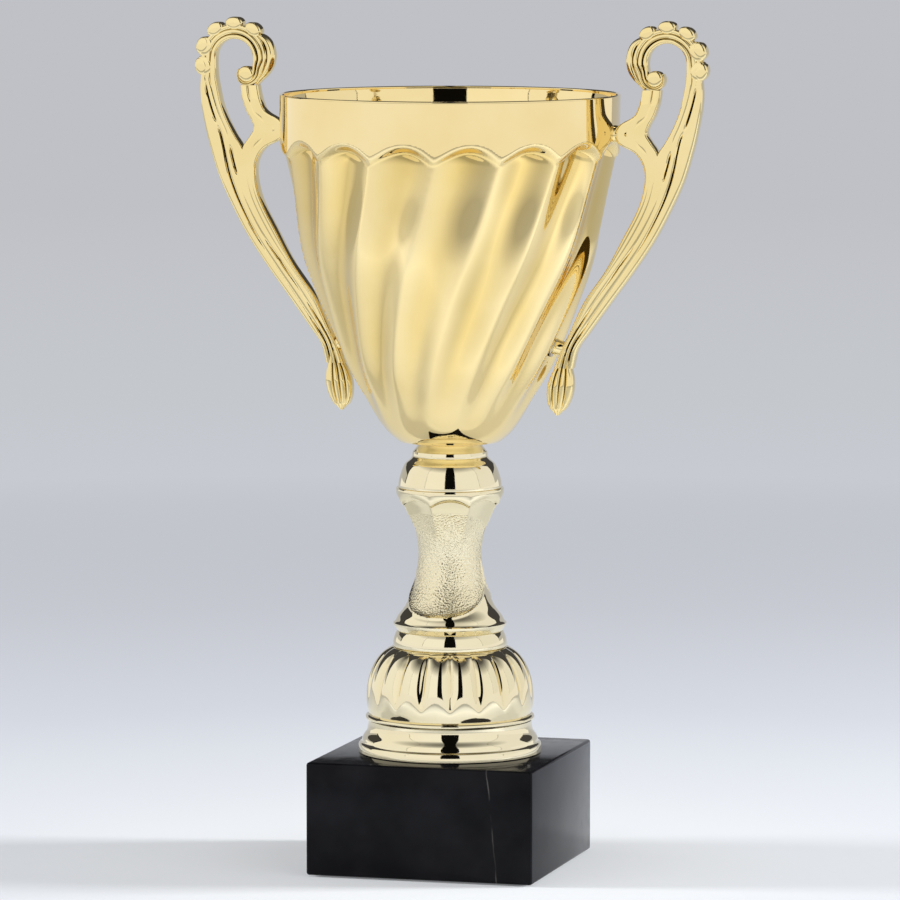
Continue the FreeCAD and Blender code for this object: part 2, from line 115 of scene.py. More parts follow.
def flow(points: Sequence[Pair], steps: int) -> list[Pair]:
    """Sample one smooth curve through the points.

    Args:
        points: the pairs that the curve passes through.
        steps: samples on each stretch between neighbours.

    Returns:
        The samples, with both ends.
    """
    knots = [Vector((a, b, 0.0)) for a, b in points]
    last = len(knots) - 1
    samples = [points[0]]
    for i in range(last):
        start, end = knots[i], knots[i + 1]
        third = (end - start).length / 3.0
        leaving = (end - knots[max(i - 1, 0)]).normalized() * third
        arriving = (knots[min(i + 2, last)] - start).normalized() * third
        curve = interpolate_bezier(start, start + leaving, end - arriving, end, steps + 1)
        samples += [(p.x, p.y) for p in curve[1:]]
    return samples


def between(first: Sequence[Pair], second: Sequence[Pair], share: float) -> list[Pair]:
    """The line a share of the way from the first line to the second."""
    return [(blend(a[0], b[0], share), blend(a[1], b[1], share)) for a, b in zip(first, second)]


def steps_from(radius: float, height: float, *steps: Pair) -> list[Pair]:
    """Points that lie so far outwards and upwards from a radius and a height."""
    return [(radius + out, height + up) for out, up in steps]


def heading(vert: bmesh.types.BMVert) -> float:
    """A vertex's direction round the axis, in degrees."""
    return math.degrees(math.atan2(vert.co.y, vert.co.x))


def inset(line: Sequence[Pair], wall: float) -> list[Pair]:
    """Move an outline inwards by a wall's thickness, square to itself.

    Args:
        line: (radius, height) pairs that run upwards.
        wall: the thickness.

    Returns:
        The moved pairs.
    """
    moved = []
    for i, (r, z) in enumerate(line):
        r0, z0 = line[max(i - 1, 0)]
        r1, z1 = line[min(i + 1, len(line) - 1)]
        length = math.hypot(r1 - r0, z1 - z0)
        moved.append((r - wall * (z1 - z0) / length, z + wall * (r1 - r0) / length))
    return moved


# ---------------------------------------------------------------- mesh tools
def turn(section: Sequence[Pair], segments: int) -> BMesh:
    """Spin a closed section about the vertical axis.

    Args:
        section: (radius, height) pairs in millimetres, in order round the section.
        segments: steps round the axis.

    Returns:
        The closed ring as a mesh.
    """
    bm = bmesh.new()
    verts = [bm.verts.new((r, 0.0, z)) for r, z in section]
    edges = [bm.edges.new(pair) for pair in zip(verts, verts[1:] + verts[:1])]
    bmesh.ops.spin(bm, geom=verts + edges, cent=(0, 0, 0), axis=(0, 0, 1), dvec=(0, 0, 0),
                   angle=2 * math.pi, space=Matrix.Identity(4), steps=segments, use_merge=True,
                   use_normal_flip=False, use_duplicate=False)
    bmesh.ops.remove_doubles(bm, verts=bm.verts, dist=MERGE)
    bmesh.ops.recalc_face_normals(bm, faces=bm.faces)
    return bm


def turn_solid(section: Sequence[Pair], segments: int) -> BMesh:
    """Spin a section about the vertical axis and close its two ends.

    Args:
        section: (radius, height) pairs, whose first and last have the same small radius.
        segments: steps round the axis.

    Returns:
        The solid as a mesh.
    """
    bm = turn(section, segments)
    core = section[0][0] + MERGE
    bore = [f for f in bm.faces if all(v.co.xy.length < core for v in f.verts)]
    bmesh.ops.delete(bm, geom=bore, context="FACES")
    bmesh.ops.holes_fill(bm, edges=[e for e in bm.edges if e.is_boundary], sides=0)
    bmesh.ops.recalc_face_normals(bm, faces=bm.faces)
    return bm


def add_shell(target: BMesh, shell: BMesh) -> None:
    """Add one closed shell to a mesh and free the shell.

    Args:
        target: the mesh that receives the shell.
        shell: the mesh that is added.
    """
    bmesh.ops.recalc_face_normals(shell, faces=shell.faces)
    carrier = bpy.data.meshes.new("carrier")
    shell.to_mesh(carrier)
    shell.free()
    target.from_mesh(carrier)
    bpy.data.meshes.remove(carrier)


def finish_piece(bm: BMesh, name: str, finish: Material, slot: str, *nodes: str) -> bpy.types.Object:
    """Make a finished piece from a mesh in millimetres.

    Args:
        bm: the mesh, which is freed.
        name: the piece's name.
        finish: its material.
        slot: the record's material slot; not used.
        nodes: the frame's nodes that it stands for.

    Returns:
        The piece, in metres, riding on the frame.
    """
    bmesh.ops.scale(bm, vec=(MM, MM, MM), verts=bm.verts)
    for face in bm.faces:
        face.smooth = True
    for edge in bm.edges:
        edge.smooth = edge.calc_face_angle(0.0) < CREASE
    mesh = bpy.data.meshes.new(name)
    bm.to_mesh(mesh)
    bm.free()
    mesh.materials.append(finish)
    piece = bpy.data.objects.new(name, mesh)
    bpy.context.scene.collection.objects.link(piece)
    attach(piece, "root")
    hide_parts(*nodes)
    LOG.info("%s: %d faces", name, len(mesh.polygons))
    return piece


# ---------------------------------------------------------------- node tools
@dataclass
class Shader:
    """A material's node tree, with short ways to add and join nodes."""

    name: str
    material: Material = field(init=False)

    def __post_init__(self) -> None:
        """Start the material with its surface shader and object coordinates."""
        self.material = bpy.data.materials.new(self.name)
        self.material.use_nodes = True
        self.tree = self.material.node_tree
        self.surface = self.tree.nodes["Principled BSDF"]
        self.place = self.tree.nodes.new("ShaderNodeTexCoord").outputs["Object"]

    def node(self, kind: str, **settings: object) -> bpy.types.Node:
        """Add a node and set its options."""
        made = self.tree.nodes.new("ShaderNode" + kind)
        for option, value in settings.items():
            setattr(made, option, value)
        return made

    def join(self, source: Socket, target: Socket) -> None:
        """Link two sockets."""
        self.tree.links.new(source, target)

    def noise(self, scale: float, detail: float = 3.0, stretch: Sequence[float] = (1, 1, 1)) -> Socket:
        """Add noise over the object.

        Args:
            scale: how many features a metre holds.
            detail: octaves of finer noise.
            stretch: scale along each axis.

        Returns:
            The noise value.
        """
        mapping = self.node("Mapping")
        mapping.inputs["Scale"].default_value = stretch
        self.join(self.place, mapping.inputs["Vector"])
        made = self.node("TexNoise")
        made.inputs["Scale"].default_value = scale
        made.inputs["Detail"].default_value = detail
        self.join(mapping.outputs["Vector"], made.inputs["Vector"])
        return made.outputs["Fac"]

    def give(self, target: Socket, value: object) -> None:
        """Give a socket a constant, or the value of another socket."""
        if isinstance(value, Socket):
            self.join(value, target)
        elif isinstance(value, tuple) and target.type == "RGBA":
            target.default_value = (*value, 1.0)
        else:
            target.default_value = value

    def dress(self, **values: object) -> None:
        """Give the surface's inputs their constants or sockets, with _ for each space in a name."""
        for name, value in values.items():
            self.give(self.surface.inputs[name.replace("_", " ")], value)

    def axis(self, letter: str) -> Socket:
        """One of the object coordinates."""
        axes = self.node("SeparateXYZ")
        self.join(self.place, axes.inputs["Vector"])
        return axes.outputs[letter]

    def combine(self, operation: str, *values: object) -> Socket:
        """Add a math node.

        Args:
            operation: its operation.
            values: sockets or numbers for its inputs.

        Returns:
            Its value.
        """
        made = self.node("Math", operation=operation)
        for socket, value in zip(made.inputs, values):
            self.give(socket, value)
        return made.outputs["Value"]

    def scaled(self, colour: Socket, share: Socket) -> Socket:
        """A colour times a share."""
        made = self.node("VectorMath", operation="SCALE")
        self.join(colour, made.inputs[0])
        self.join(share, made.inputs["Scale"])
        return made.outputs["Vector"]

    def spread(self, value: Socket, start: Pair, end: Pair) -> Socket:
        """Map a value from one range to another.

        Args:
            value: what to map.
            start: the range it has.
            end: the range it gets.

        Returns:
            The mapped value, held inside the new range.
        """
        made = self.node("MapRange")
        for socket, setting in zip(made.inputs, (value, *start, *end)):
            self.give(socket, setting)
        return made.outputs["Result"]

    def tint(self, share: Socket, first: object, second: Colour) -> Socket:
        """Mix two colours by a share.

        Args:
            share: 0 gives the first and 1 the second.
            first: one colour, or a socket that gives it.
            second: the other colour.

        Returns:
            The mixed colour.
        """
        made = self.node("Mix", data_type="RGBA")
        for socket, colour in zip((s for s in made.inputs if s.type == "RGBA"), (first, second)):
            self.give(socket, colour)
        self.join(share, made.inputs["Factor"])
        return next(s for s in made.outputs if s.type == "RGBA")

    def tag(self, name: str) -> Socket:
        """Read a number that a mesh carries at its points."""
        return self.node("Attribute", attribute_name=name).outputs["Fac"]

    def relief(self, height: Socket, strength: float, distance: float) -> None:
        """Raise the surface's bump by a height, on top of any bump there already."""
        bump = self.node("Bump")
        bump.inputs["Strength"].default_value = strength
        bump.inputs["Distance"].default_value = distance
        self.join(height, bump.inputs["Height"])
        target = self.surface.inputs["Normal"]
        if target.is_linked:
            self.join(target.links[0].from_socket, bump.inputs["Normal"])
        self.join(bump.outputs["Normal"], target)


# ---------------------------------------------------------------- finishes
@dataclass(frozen=True)
class PlatedGold:
    """Bright gold plate with slight waves and cloudy tarnish, plus painted shade that deepens the colour in
    hollows and darkens grooves.
    """

    name: str
    colour: Colour
    # The darker colour that random tarnish and painted shade in hollows mix towards.
    tarnish_and_shade: Colour
    gloss: Pair
    wave: float = 0.00002
    pebbled: bool = False
    # The next two set painted shade: how dark the grooves get, and how far the hollows go towards the darker
    # colour.
    groove_shade: float = 0.0
    hollow_shade_share: float = 0.45
    pebbles_per_metre: float = 1700.0

    def make(self) -> Material:
        """Build the material."""
        shader = Shader(self.name)
        tarnish = shader.spread(shader.noise(38.0, 4.0), (0.35, 0.75), (0.0, 0.35))
        # Painted shade: the hollow tag mixes the plate towards the darker colour in hollows.
        hollow = shader.combine("MULTIPLY", shader.tag("hollow"), self.hollow_shade_share)
        share = shader.combine("ADD", tarnish, hollow)
        plate = shader.tint(share, self.colour, self.tarnish_and_shade)
        # Painted shade: deep grooves are darkened, down to near black on the handles.
        dark = shader.spread(shader.tag("groove"), (0.15, 0.7), (1.0, 1.0 - self.groove_shade))
        rough = shader.spread(shader.noise(160.0, 5.0), (0.3, 0.7), self.gloss)
        if self.pebbled:
            satin = shader.tag("pebble")
            rough = shader.combine("ADD", rough, shader.combine("MULTIPLY", satin, 0.2))
            cells = shader.node("TexVoronoi", feature="SMOOTH_F1")
            cells.inputs["Scale"].default_value = self.pebbles_per_metre
            shader.join(shader.place, cells.inputs["Vector"])
            grain = shader.combine("MULTIPLY", cells.outputs["Distance"], satin)
            shader.relief(grain, 0.9, 0.00035)
        shader.dress(Metallic=1.0, Base_Color=shader.scaled(plate, dark), Roughness=rough)
        shader.relief(shader.noise(90.0, 2.0), 0.5, self.wave)
        shader.relief(shader.noise(2600.0, 2.0), 0.15, 0.00001)
        return shader.material


@dataclass(frozen=True)
class BlackMarble:
    """Polished black marble with a few faint pale veins."""

    name: str = "black_marble"
    ground: Colour = (0.0035, 0.0035, 0.0045)
    cloud: Colour = (0.009, 0.009, 0.011)
    vein: Colour = (0.09, 0.085, 0.08)
    vein_at: float = 0.0305
    vein_half: float = 0.00035

    def make(self) -> Material:
        """Build the material."""
        shader = Shader(self.name)
        ground = shader.tint(shader.spread(shader.noise(55.0, 6.0), (0.4, 0.7), (0.0, 1.0)),
                             self.ground, self.cloud)
        warp = shader.combine("MULTIPLY", shader.noise(45.0, 5.0), 0.004)
        slant = shader.combine("ADD", shader.axis("X"), shader.combine("MULTIPLY", shader.axis("Z"), 0.1))
        off = shader.combine("SUBTRACT", shader.combine("ADD", slant, warp), self.vein_at)
        line = shader.spread(shader.combine("ABSOLUTE", off), (0.0, self.vein_half), (1.0, 0.0))
        patchy = shader.spread(shader.noise(70.0, 3.0), (0.42, 0.62), (0.0, 1.0))
        veined = shader.tint(shader.combine("MULTIPLY", line, patchy), ground, self.vein)
        rough = shader.spread(shader.noise(220.0, 5.0), (0.35, 0.7), (0.07, 0.16))
        shader.dress(IOR=1.17, Base_Color=veined, Roughness=rough)
        shader.relief(shader.noise(1200.0, 3.0), 0.2, 0.00001)
        return shader.material


@dataclass(frozen=True)
class Felt:
    """Dense pressed felt."""

    name: str = "green_black_felt"
    dark: Colour = (0.012, 0.016, 0.014)
    light: Colour = (0.035, 0.045, 0.04)

    def make(self) -> Material:
        """Build the material."""
        shader = Shader(self.name)
        fibre = shader.noise(2800.0, 6.0, (1.0, 0.35, 1.0))
        shader.dress(Base_Color=shader.tint(fibre, self.dark, self.light), Sheen_Weight=0.35,
                     Roughness=shader.spread(fibre, (0.2, 0.8), (0.82, 1.0)))
        shader.relief(fibre, 0.8, 0.0003)
        return shader.material


@dataclass(frozen=True)
class TurnedMetal:
    """Bare or plated hardware with turning marks and rubbed patches."""

    name: str
    colour: Colour
    rubbed: Colour
    rough: Pair

    def make(self) -> Material:
        """Build the material."""
        shader = Shader(self.name)
        patch = shader.spread(shader.noise(240.0, 5.0), (0.4, 0.65), (0.0, 1.0))
        marks = shader.noise(500.0, 4.0, (0.3, 0.3, 6.0))
        shader.dress(Metallic=1.0, Base_Color=shader.tint(patch, self.colour, self.rubbed),
                     Roughness=shader.spread(marks, (0.3, 0.7), self.rough))
        shader.relief(marks, 0.35, 0.00005)
        return shader.material


class Finish(Enum):
    """The finishes that this cup uses, with the record's slot of each."""

    MARBLE = ("marble", BlackMarble())
    FELT = ("felt", Felt())
    # Each plate's second colour is what random tarnish and painted shade in hollows mix towards; the handle's
    # grooves get near-black painted shade.
    CUP = ("cup_gold", PlatedGold("cup_gold_plate", (0.92, 0.755, 0.4), (0.8, 0.585, 0.2), (0.02, 0.045),
                                   hollow_shade_share=0.8))
    HANDLE = ("handle_gold", PlatedGold("handle_gold_plate", (0.9, 0.745, 0.38), (0.8, 0.585, 0.2),
                                        (0.03, 0.06), 0.00001, groove_shade=0.93))
    RISER = ("riser_gold", PlatedGold("riser_gold_plate", (0.875, 0.795, 0.565), (0.78, 0.64, 0.33),
                                      (0.03, 0.06), 0.00001, True))
    ZINC = ("zinc_steel", TurnedMetal("zinc_plated_steel", (0.55, 0.56, 0.56), (0.7, 0.7, 0.66), (0.28, 0.5)))
    BRASS = ("brass_nut", TurnedMetal("plain_brass", (0.72, 0.5, 0.2), (0.8, 0.62, 0.3), (0.2, 0.4)))

    def __init__(self, slot: str, recipe: object) -> None:
        """Keep the slot and the recipe."""
        self.slot = slot
        self.recipe = recipe

    def material(self) -> Material:
        """The finish's material, made once."""
        return bpy.data.materials.get(self.recipe.name) or self.recipe.make()


# ---------------------------------------------------------------- marble block and pads
@dataclass
class MarbleBlock:
    """Square polished block, drilled for the rod and counterbored for its nut."""

    edge: float = 1.0
    bore: float = 3.3
    counterbore: float = 14.0
    seat: float = 13.0
    sides: int = 48

    def hole_rim(self, bm: BMesh, radius: float, height: float) -> list[bmesh.types.BMEdge]:
        """Add a circle round the axis and give back its edges."""
        ring = bmesh.ops.create_circle(bm, cap_ends=False, segments=self.sides, radius=radius,
                                       matrix=Matrix.Translation((0, 0, height)))
        return list({e for v in ring["verts"] for e in v.link_edges})

    def build(self) -> None:
        """Make the block from a cube whose faces are opened and joined to the bore."""
        base, top = low("marble_base"), high("marble_base")
        half = reach("marble_base")
        bm = bmesh.new()
        size = Matrix.Diagonal((2 * half, 2 * half, top - base, 1))
        bmesh.ops.create_cube(bm, size=1.0, matrix=Matrix.Translation((0, 0, (base + top) / 2)) @ size)
        bmesh.ops.bevel(bm, geom=bm.edges[:], offset=self.edge, offset_type="OFFSET", segments=4,
                        profile=0.5, affect="EDGES", material=-1)
        ends = [f for f in bm.faces if abs(f.normal.z) > 0.999 and f.calc_area() > half * half]
        ends.sort(key=lambda f: f.calc_center_median().z)
        rims = [list(f.edges) for f in ends]
        bmesh.ops.delete(bm, geom=ends, context="FACES_ONLY")
        seat = base + self.seat
        levels = [(self.counterbore, base), (self.counterbore, seat), (self.bore, seat), (self.bore, top)]
        loops = [rims[0]] + [self.hole_rim(bm, radius, height) for radius, height in levels] + [rims[1]]
        for first, second in zip(loops, loops[1:]):
            bmesh.ops.bridge_loops(bm, edges=first + second)
        bmesh.ops.recalc_face_normals(bm, faces=bm.faces)
        finish_piece(bm, "marble_block", Finish.MARBLE.material(), Finish.MARBLE.slot, "marble_base")


@dataclass
class FeltPads:
    """Four round felt pads under the block."""

    count: int = 4
    softness: float = 0.3
    core: float = 0.6

    def build(self) -> None:
        """Make each pad where its node is."""
        for number in range(1, self.count + 1):
            node = f"felt_pad_{number}"
            corner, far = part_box(node)
            centre = (corner + far) / 2 / MM
            radius = (far.x - corner.x) / 2 / MM
            height = (far.z - corner.z) / MM
            soft = height * self.softness
            section = [(self.core, 0.0), (radius - soft, 0.0), (radius, soft), (radius, height - soft),
                       (radius - soft, height), (self.core, height)]
            bm = turn_solid(section, 40)
            bmesh.ops.translate(bm, vec=(centre.x, centre.y, corner.z / MM), verts=bm.verts)
            finish_piece(bm, f"felt_disc_{number}", Finish.FELT.material(), Finish.FELT.slot, node)


# ---------------------------------------------------------------- riser
@dataclass
class Riser:
    """The stack of plated mouldings between the block and the cup."""

    segments: int = 288
    bore: float = 3.3
    lobes: int = 18
    lobe_depth: float = 2.3
    face_at: float = -74.3
    facets: int = 8
    facet_rise: float = 0.11
    scallop: float = 2.3
    pebble_relief: float = 0.3
    flange_height: float = 3.0
    panel_half: float = 85.0
    panel_foot: Pair = (6.4, 17.0)
    panel_head: Pair = (42.8, 37.0)

    def section(self, outside: Sequence[Pair]) -> list[Pair]:
        """Close an outline, given from base to top, down the bore."""
        top, base = outside[-1][1], outside[0][1]
        return [*outside, (self.bore, top), (self.bore, base)]

    def skin(self, bm: BMesh) -> list[bmesh.types.BMVert]:
        """The vertices that aren't on the bore."""
        return [v for v in bm.verts if v.co.xy.length >= self.bore + 1.0]

    def place(self, bm: BMesh, name: str, node: str) -> None:
        """Finish one plated piece of the riser."""
        finish_piece(bm, name, Finish.RISER.material(), Finish.RISER.slot, node)

    def foot(self) -> None:
        """Flange with an upright lip, a cove and the bead above it."""
        base, top = low("riser_foot"), low("riser_bell")
        flange = reach("riser_foot")
        bead = flange * 0.924
        outside = steps_from(flange, base, (-0.35, 0.0), (0.0, 0.35))
        outside += flow(steps_from(flange, base, (0.0, 2.7), (-0.3, 3.3), (-0.9, 3.6)), 4)
        cove = steps_from(bead, base, (1.0, 5.4), (-0.4, 7.6), (-0.9, 9.8), (-1.0, 11.4))
        outside += flow([(flange - 1.1, base + 3.9), *cove], 6)
        outside += [polar(1.0, angle, (bead - 1.0, base + 12.5)) for angle in range(-80, 81, 16)]
        outside += [(bead - 1.1, top)]
        self.place(turn(self.section(outside), self.segments), "riser_foot_moulding", "riser_foot")

    def bell_shape(self, height: float) -> float:
        """How far the lobes stand apart at a share of the bell's height."""
        return soft_step((height - 0.04) / 0.5) * (1.0 - 0.6 * soft_step((height - 0.82) / 0.18))

    def bell(self) -> None:
        """Bell of convex lobes that draw together under the ring."""
        base, top = low("riser_bell"), low("riser_ring")
        wide = reach("riser_bell")
        rise = top - base
        shares = ((1.0, 0.27), (0.985, 0.46), (0.948, 0.63), (0.885, 0.79), (0.8, 0.915))
        outside = flow([(wide - 0.9, base), (wide - 0.15, base + rise * 0.12),
                        *((wide * r, base + rise * z) for r, z in shares), (wide * 0.7, top - 0.2),
                        (wide * 0.66, top)], 6)
        bm = turn(self.section(outside), self.segments)
        tag = bm.verts.layers.float.new("hollow")
        pitch = 360.0 / self.lobes
        for vert in self.skin(bm):
            radius = vert.co.xy.length
            share = (heading(vert) - self.face_at) / pitch
            across = 2.0 * abs(share - math.floor(share) - 0.5)
            crown = math.sqrt(max(1.0 - (across * 0.985) ** 2, 0.0))
            depth = (1.0 - crown) * self.lobe_depth * self.bell_shape((vert.co.z - base) / rise)
            vert.co.xy *= (radius - depth) / radius
            # Painted shade: the hollow tag darkens the gold in the valleys between lobes.
            vert[tag] = min(depth / self.lobe_depth, 1.0)
        self.place(bm, "riser_bell_lobed", "riser_bell")

    def ring(self) -> None:
        """Plain ring that tapers to a soft top edge."""
        base, top = low("riser_ring"), low("riser_waist")
        wide = reach("riser_ring")
        taper = steps_from(wide, base, (-0.35, 0.0), (0.0, 0.35), (0.0, 1.8), (-0.25, 3.2), (-0.75, 4.6))
        outside = flow([*taper, (wide - 1.35, top - 0.3)], 5)
        outside += [(wide - 1.7, top)]
        self.place(turn(self.section(outside), 192), "riser_plain_ring", "riser_ring")

    def panel(self, degrees: float, height: float, radius: float) -> float:
        """How far a place lies inside the pebbled panels, front and back.

        Args:
            degrees: direction round the axis.
            height: millimetres above the waist's base.
            radius: distance from the axis.

        Returns:
            Millimetres inside a panel's edge, below zero outside it.
        """
        off = (degrees - FRONT + 90.0) % 180.0 - 90.0
        share = abs(off) / self.panel_half
        below = height - blend(*self.panel_foot, share ** 2.2)
        above = blend(*self.panel_head, share ** 3) - height
        beside = math.radians(self.panel_half + 3.0 - abs(off)) * radius
        return min(below, above, beside)

    def facet(self, degrees: float) -> float:
        """How far towards a ridge between two facets a direction lies, from 0 to 1."""
        pitch = 360.0 / self.facets
        share = ((degrees - self.face_at) / pitch + 0.5) % 1.0 - 0.5
        across = abs(share) * pitch
        return (1.0 / math.cos(math.radians(across)) - 1.0) / (1.0 / math.cos(math.radians(pitch / 2)) - 1.0)

    def waist(self) -> None:
        """Waisted column with pebbled panels, a thin flange and a faceted flare."""
        base, top = low("riser_waist"), low("riser_band")
        wide = reach("riser_waist")
        outside = steps_from(wide, base, (-1.2, 0.0), (-0.25, 1.5), (0.0, 1.9), (0.0, 2.6), (-0.4, 2.95))
        outside += flow([
            (wide - 0.7, base + 3.3), (18.4, base + 5.0), (16.0, base + 8.2), (14.1, base + 12.4),
            (12.75, base + 16.2), (11.9, base + 21.5), (11.4, base + 26.6), (11.75, base + 31.0),
            (12.7, base + 35.6), (14.3, base + 40.0), (16.4, base + 44.6), (17.9, top + 0.4),
        ], 9)
        bm = turn(self.section(outside), self.segments)
        satin = bm.verts.layers.float.new("pebble")
        for vert in self.skin(bm):
            radius = vert.co.xy.length
            height = vert.co.z - base
            if height < self.flange_height:
                continue
            degrees = heading(vert)
            inside = self.panel(degrees, height, radius)
            border = 1.6 * math.exp(-((inside + 0.35) / 0.5) ** 2) * soft_step((26.0 - height) / 8.0)
            sunk = soft_step(inside / 0.8)
            flare = soft_step((height - 31.0) / 9.0)
            ridge = self.facet(degrees) - 0.35
            moved = self.facet_rise * ridge * flare + self.pebble_relief * (border - 0.8 * sunk) / radius
            vert.co.xy *= 1.0 + moved
            vert[satin] = soft_step((inside - 0.1) / 0.5)
        self.place(bm, "riser_waist_column", "riser_waist")

    def band(self) -> None:
        """Flared band whose lower edge is scalloped over the facets."""
        base, top = low("riser_band"), low("riser_dome")
        wide = reach("riser_band")
        lower = steps_from(wide, base, (-1.9, -0.7), (-0.8, -0.1), (-0.15, 1.0), (0.0, 2.2), (-0.02, 3.3))
        outside = flow(lower, 5)
        outside += [(wide - 0.06, base + 3.75), (wide - 0.22, top)]
        bm = turn(self.section(outside), self.segments)
        for vert in self.skin(bm):
            lowered = 1.0 - soft_step((vert.co.z - base + 1.3) / 4.2)
            arch = 1.0 - self.facet(heading(vert))
            vert.co.z += lowered * self.scallop * (arch - 0.6)
            vert.co.xy *= 1.0 + 0.04 * lowered * (0.35 - arch)
        self.place(bm, "riser_scalloped_band", "riser_band")

    def dome(self) -> None:
        """Domed cap with a sloping shelf under the collar."""
        base, top = low("riser_dome"), low("cup_collar")
        wide = reach("riser_dome")
        crown = steps_from(wide, base, (-0.03, 0.15), (0.0, 1.0), (-0.3, 2.9), (-0.9, 5.0), (-1.6, 6.9),
                           (-2.35, 8.3), (-2.85, 8.9))
        shelf = [*steps_from(wide, base, (-3.2, 9.15), (-4.1, 9.9)), (wide - 4.9, top)]
        outside = [(wide - 0.2, base), *flow(crown, 6), *flow(shelf, 4)]
        self.place(turn(self.section(outside), 224), "riser_dome_cap", "riser_dome")

    def collar(self) -> None:
        """Bright upright band and a cone that carries the cup."""
        base, top = low("cup_collar"), low("cup_bowl")
        wide = reach("cup_collar")
        outside = steps_from(wide, base, (-0.6, 0.0), (-0.4, 0.2))
        outside += flow(steps_from(wide, base, (-0.35, 0.4), (-0.42, 1.2), (-0.6, 1.95)), 4)
        cone = steps_from(wide, base, (-0.85, 2.1), (-1.3, 2.7), (-2.1, 3.7))
        outside += flow([*cone, (wide - 2.5, top)], 5)
        self.place(turn(self.section(outside), 192), "riser_collar", "cup_collar")

    def build(self) -> None:
        """Make every piece of the riser from the marble up."""
        for piece in (self.foot, self.bell, self.ring, self.waist, self.band, self.dome, self.collar):
            piece()


# ---------------------------------------------------------------- cup
@dataclass
class FlutedCup:
    """Thin pressed cup: rolled lip, plain band and twisted flutes that end in arches."""

    segments: int = 384
    flutes: int = 16
    wall: float = 1.0
    lip: float = 0.55
    ledge: float = 1.05
    bore: float = 3.3
    band_height: float = 17.5
    arch_line: float = 20.3
    arch_rise: float = 5.0
    shoulder: float = 3.0
    depth: float = 2.7
    twist: float = 40.0
    twist_power: float = 1.25
    sharpness: float = 0.6
    fade_from: float = 0.62
    fade_over: float = 0.36
    floor_share: float = 0.205

    def __post_init__(self) -> None:
        """Read the cup's place from the frame."""
        self.base = low("cup_bowl")
        self.top = high("cup_bowl")
        self.rim = reach("cup_bowl")
        self.band_line = self.top - self.band_height

    def side(self) -> list[Pair]:
        """The outside from the floor's edge to the plain band."""
        rise = self.band_line - self.base
        shares = [(0.3, 0.01), (0.362, 0.04), (0.42, 0.082), (0.487, 0.146), (0.615, 0.27), (0.745, 0.45),
                  (0.863, 0.63), (0.9465, 0.85)]
        points = [(self.rim * r, self.base + rise * z) for r, z in shares]
        return points + [(self.rim * 0.987, self.band_line - 5.0), (self.rim - 0.42, self.band_line - 2.5),
                         (self.rim - 0.33, self.band_line + 0.5), (self.rim - 0.24, self.band_line + 5.0)]

    def even_rows(self, line: Sequence[Pair], coarse: float, fine: float) -> list[Pair]:
        """Space an upward line's points by height, finer where the arches are."""
        rows = [line[0]]
        for r, z in line[1:]:
            near = abs(z - (self.top - self.arch_line + 2.0)) < 8.5
            if z - rows[-1][1] >= (fine if near else coarse) or (r, z) == line[-1]:
                rows.append((r, z))
        return rows

    def cut(self, degrees: float, height: float) -> float:
        """Depth of the flutes below the plain outline.

        Args:
            degrees: direction round the axis.
            height: millimetres above the object's base.

        Returns:
            The depth in millimetres.
        """
        arch_base = self.top - self.arch_line
        arch_top = arch_base + self.arch_rise
        down = min(max((arch_top - height) / (arch_top - self.base), 0.0), 1.0)
        turned = degrees + self.twist * down ** self.twist_power
        share = (turned * self.flutes / 360.0 + 0.5) % 1.0 - 0.5
        across = math.cos(math.pi * share)
        arch = arch_base + self.arch_rise * across
        begun = soft_step((arch - height) / self.shoulder)
        hollow = blend(across * across, across, self.sharpness * (1.0 - 0.6 * down))
        fading = 1.0 - soft_step((down - self.fade_from) / self.fade_over)
        step = self.ledge * (1.0 - soft_step(down / 0.4))
        return begun * (step + self.depth * hollow * fading)

    def build(self) -> None:
        """Spin the section, then press the flutes through the wall."""
        outer = self.even_rows(flow(self.side(), 26), 0.95, 0.42)
        inner = self.even_rows(inset(flow(self.side(), 26), self.wall), 1.5, 0.7)
        lip_centre = (self.rim - self.lip, self.top - self.lip)
        roll = [polar(self.lip, angle, lip_centre) for angle in range(-15, 196, 15)]
        mouth = (roll[-1][0] - 0.85, self.top - 7.5)
        section = [(self.bore, self.base), (self.rim * self.floor_share, self.base)] + outer
        for k in (1, 2, 3, 4, 5, 6, 7, 7.9):
            section += between([outer[-1]], [roll[0]], k / 8)
        section += roll
        section += flow([roll[-1], mouth, inner[-1]], 5)[1:-1]
        bed = self.base + self.wall
        section += inner[::-1] + [(inner[0][0] - 2.0, bed), (self.bore, bed)]
        bm = turn(section, self.segments)
        tag = bm.verts.layers.float.new("hollow")
        slopes = {v: (v.normal.xy.length, v.normal.z, self.inward(v)) for v in bm.verts}
        for vert, (level, upright, sense) in slopes.items():
            radius = vert.co.xy.length
            if radius < self.bore + 4.0 or vert.co.z > self.top - self.arch_line + self.arch_rise + 1.0:
                continue
            degrees = heading(vert)
            depth = self.cut(degrees, vert.co.z)
            radial = Vector((vert.co.x / radius, vert.co.y / radius, 0.0))
            vert.co -= depth * (radial * level + Vector((0.0, 0.0, upright * sense)))
            # Painted shade: the hollow tag darkens and deepens the gold in the flutes.
            vert[tag] = depth / (self.depth + self.ledge)
        finish_piece(bm, "cup_fluted_shell", Finish.CUP.material(), Finish.CUP.slot, "cup_bowl")

    def inward(self, vert: bmesh.types.BMVert) -> float:
        """1 where a vertex is on the outside and -1 on the inside."""
        return 1.0 if vert.normal.xy.dot(vert.co.xy) > 0 else -1.0


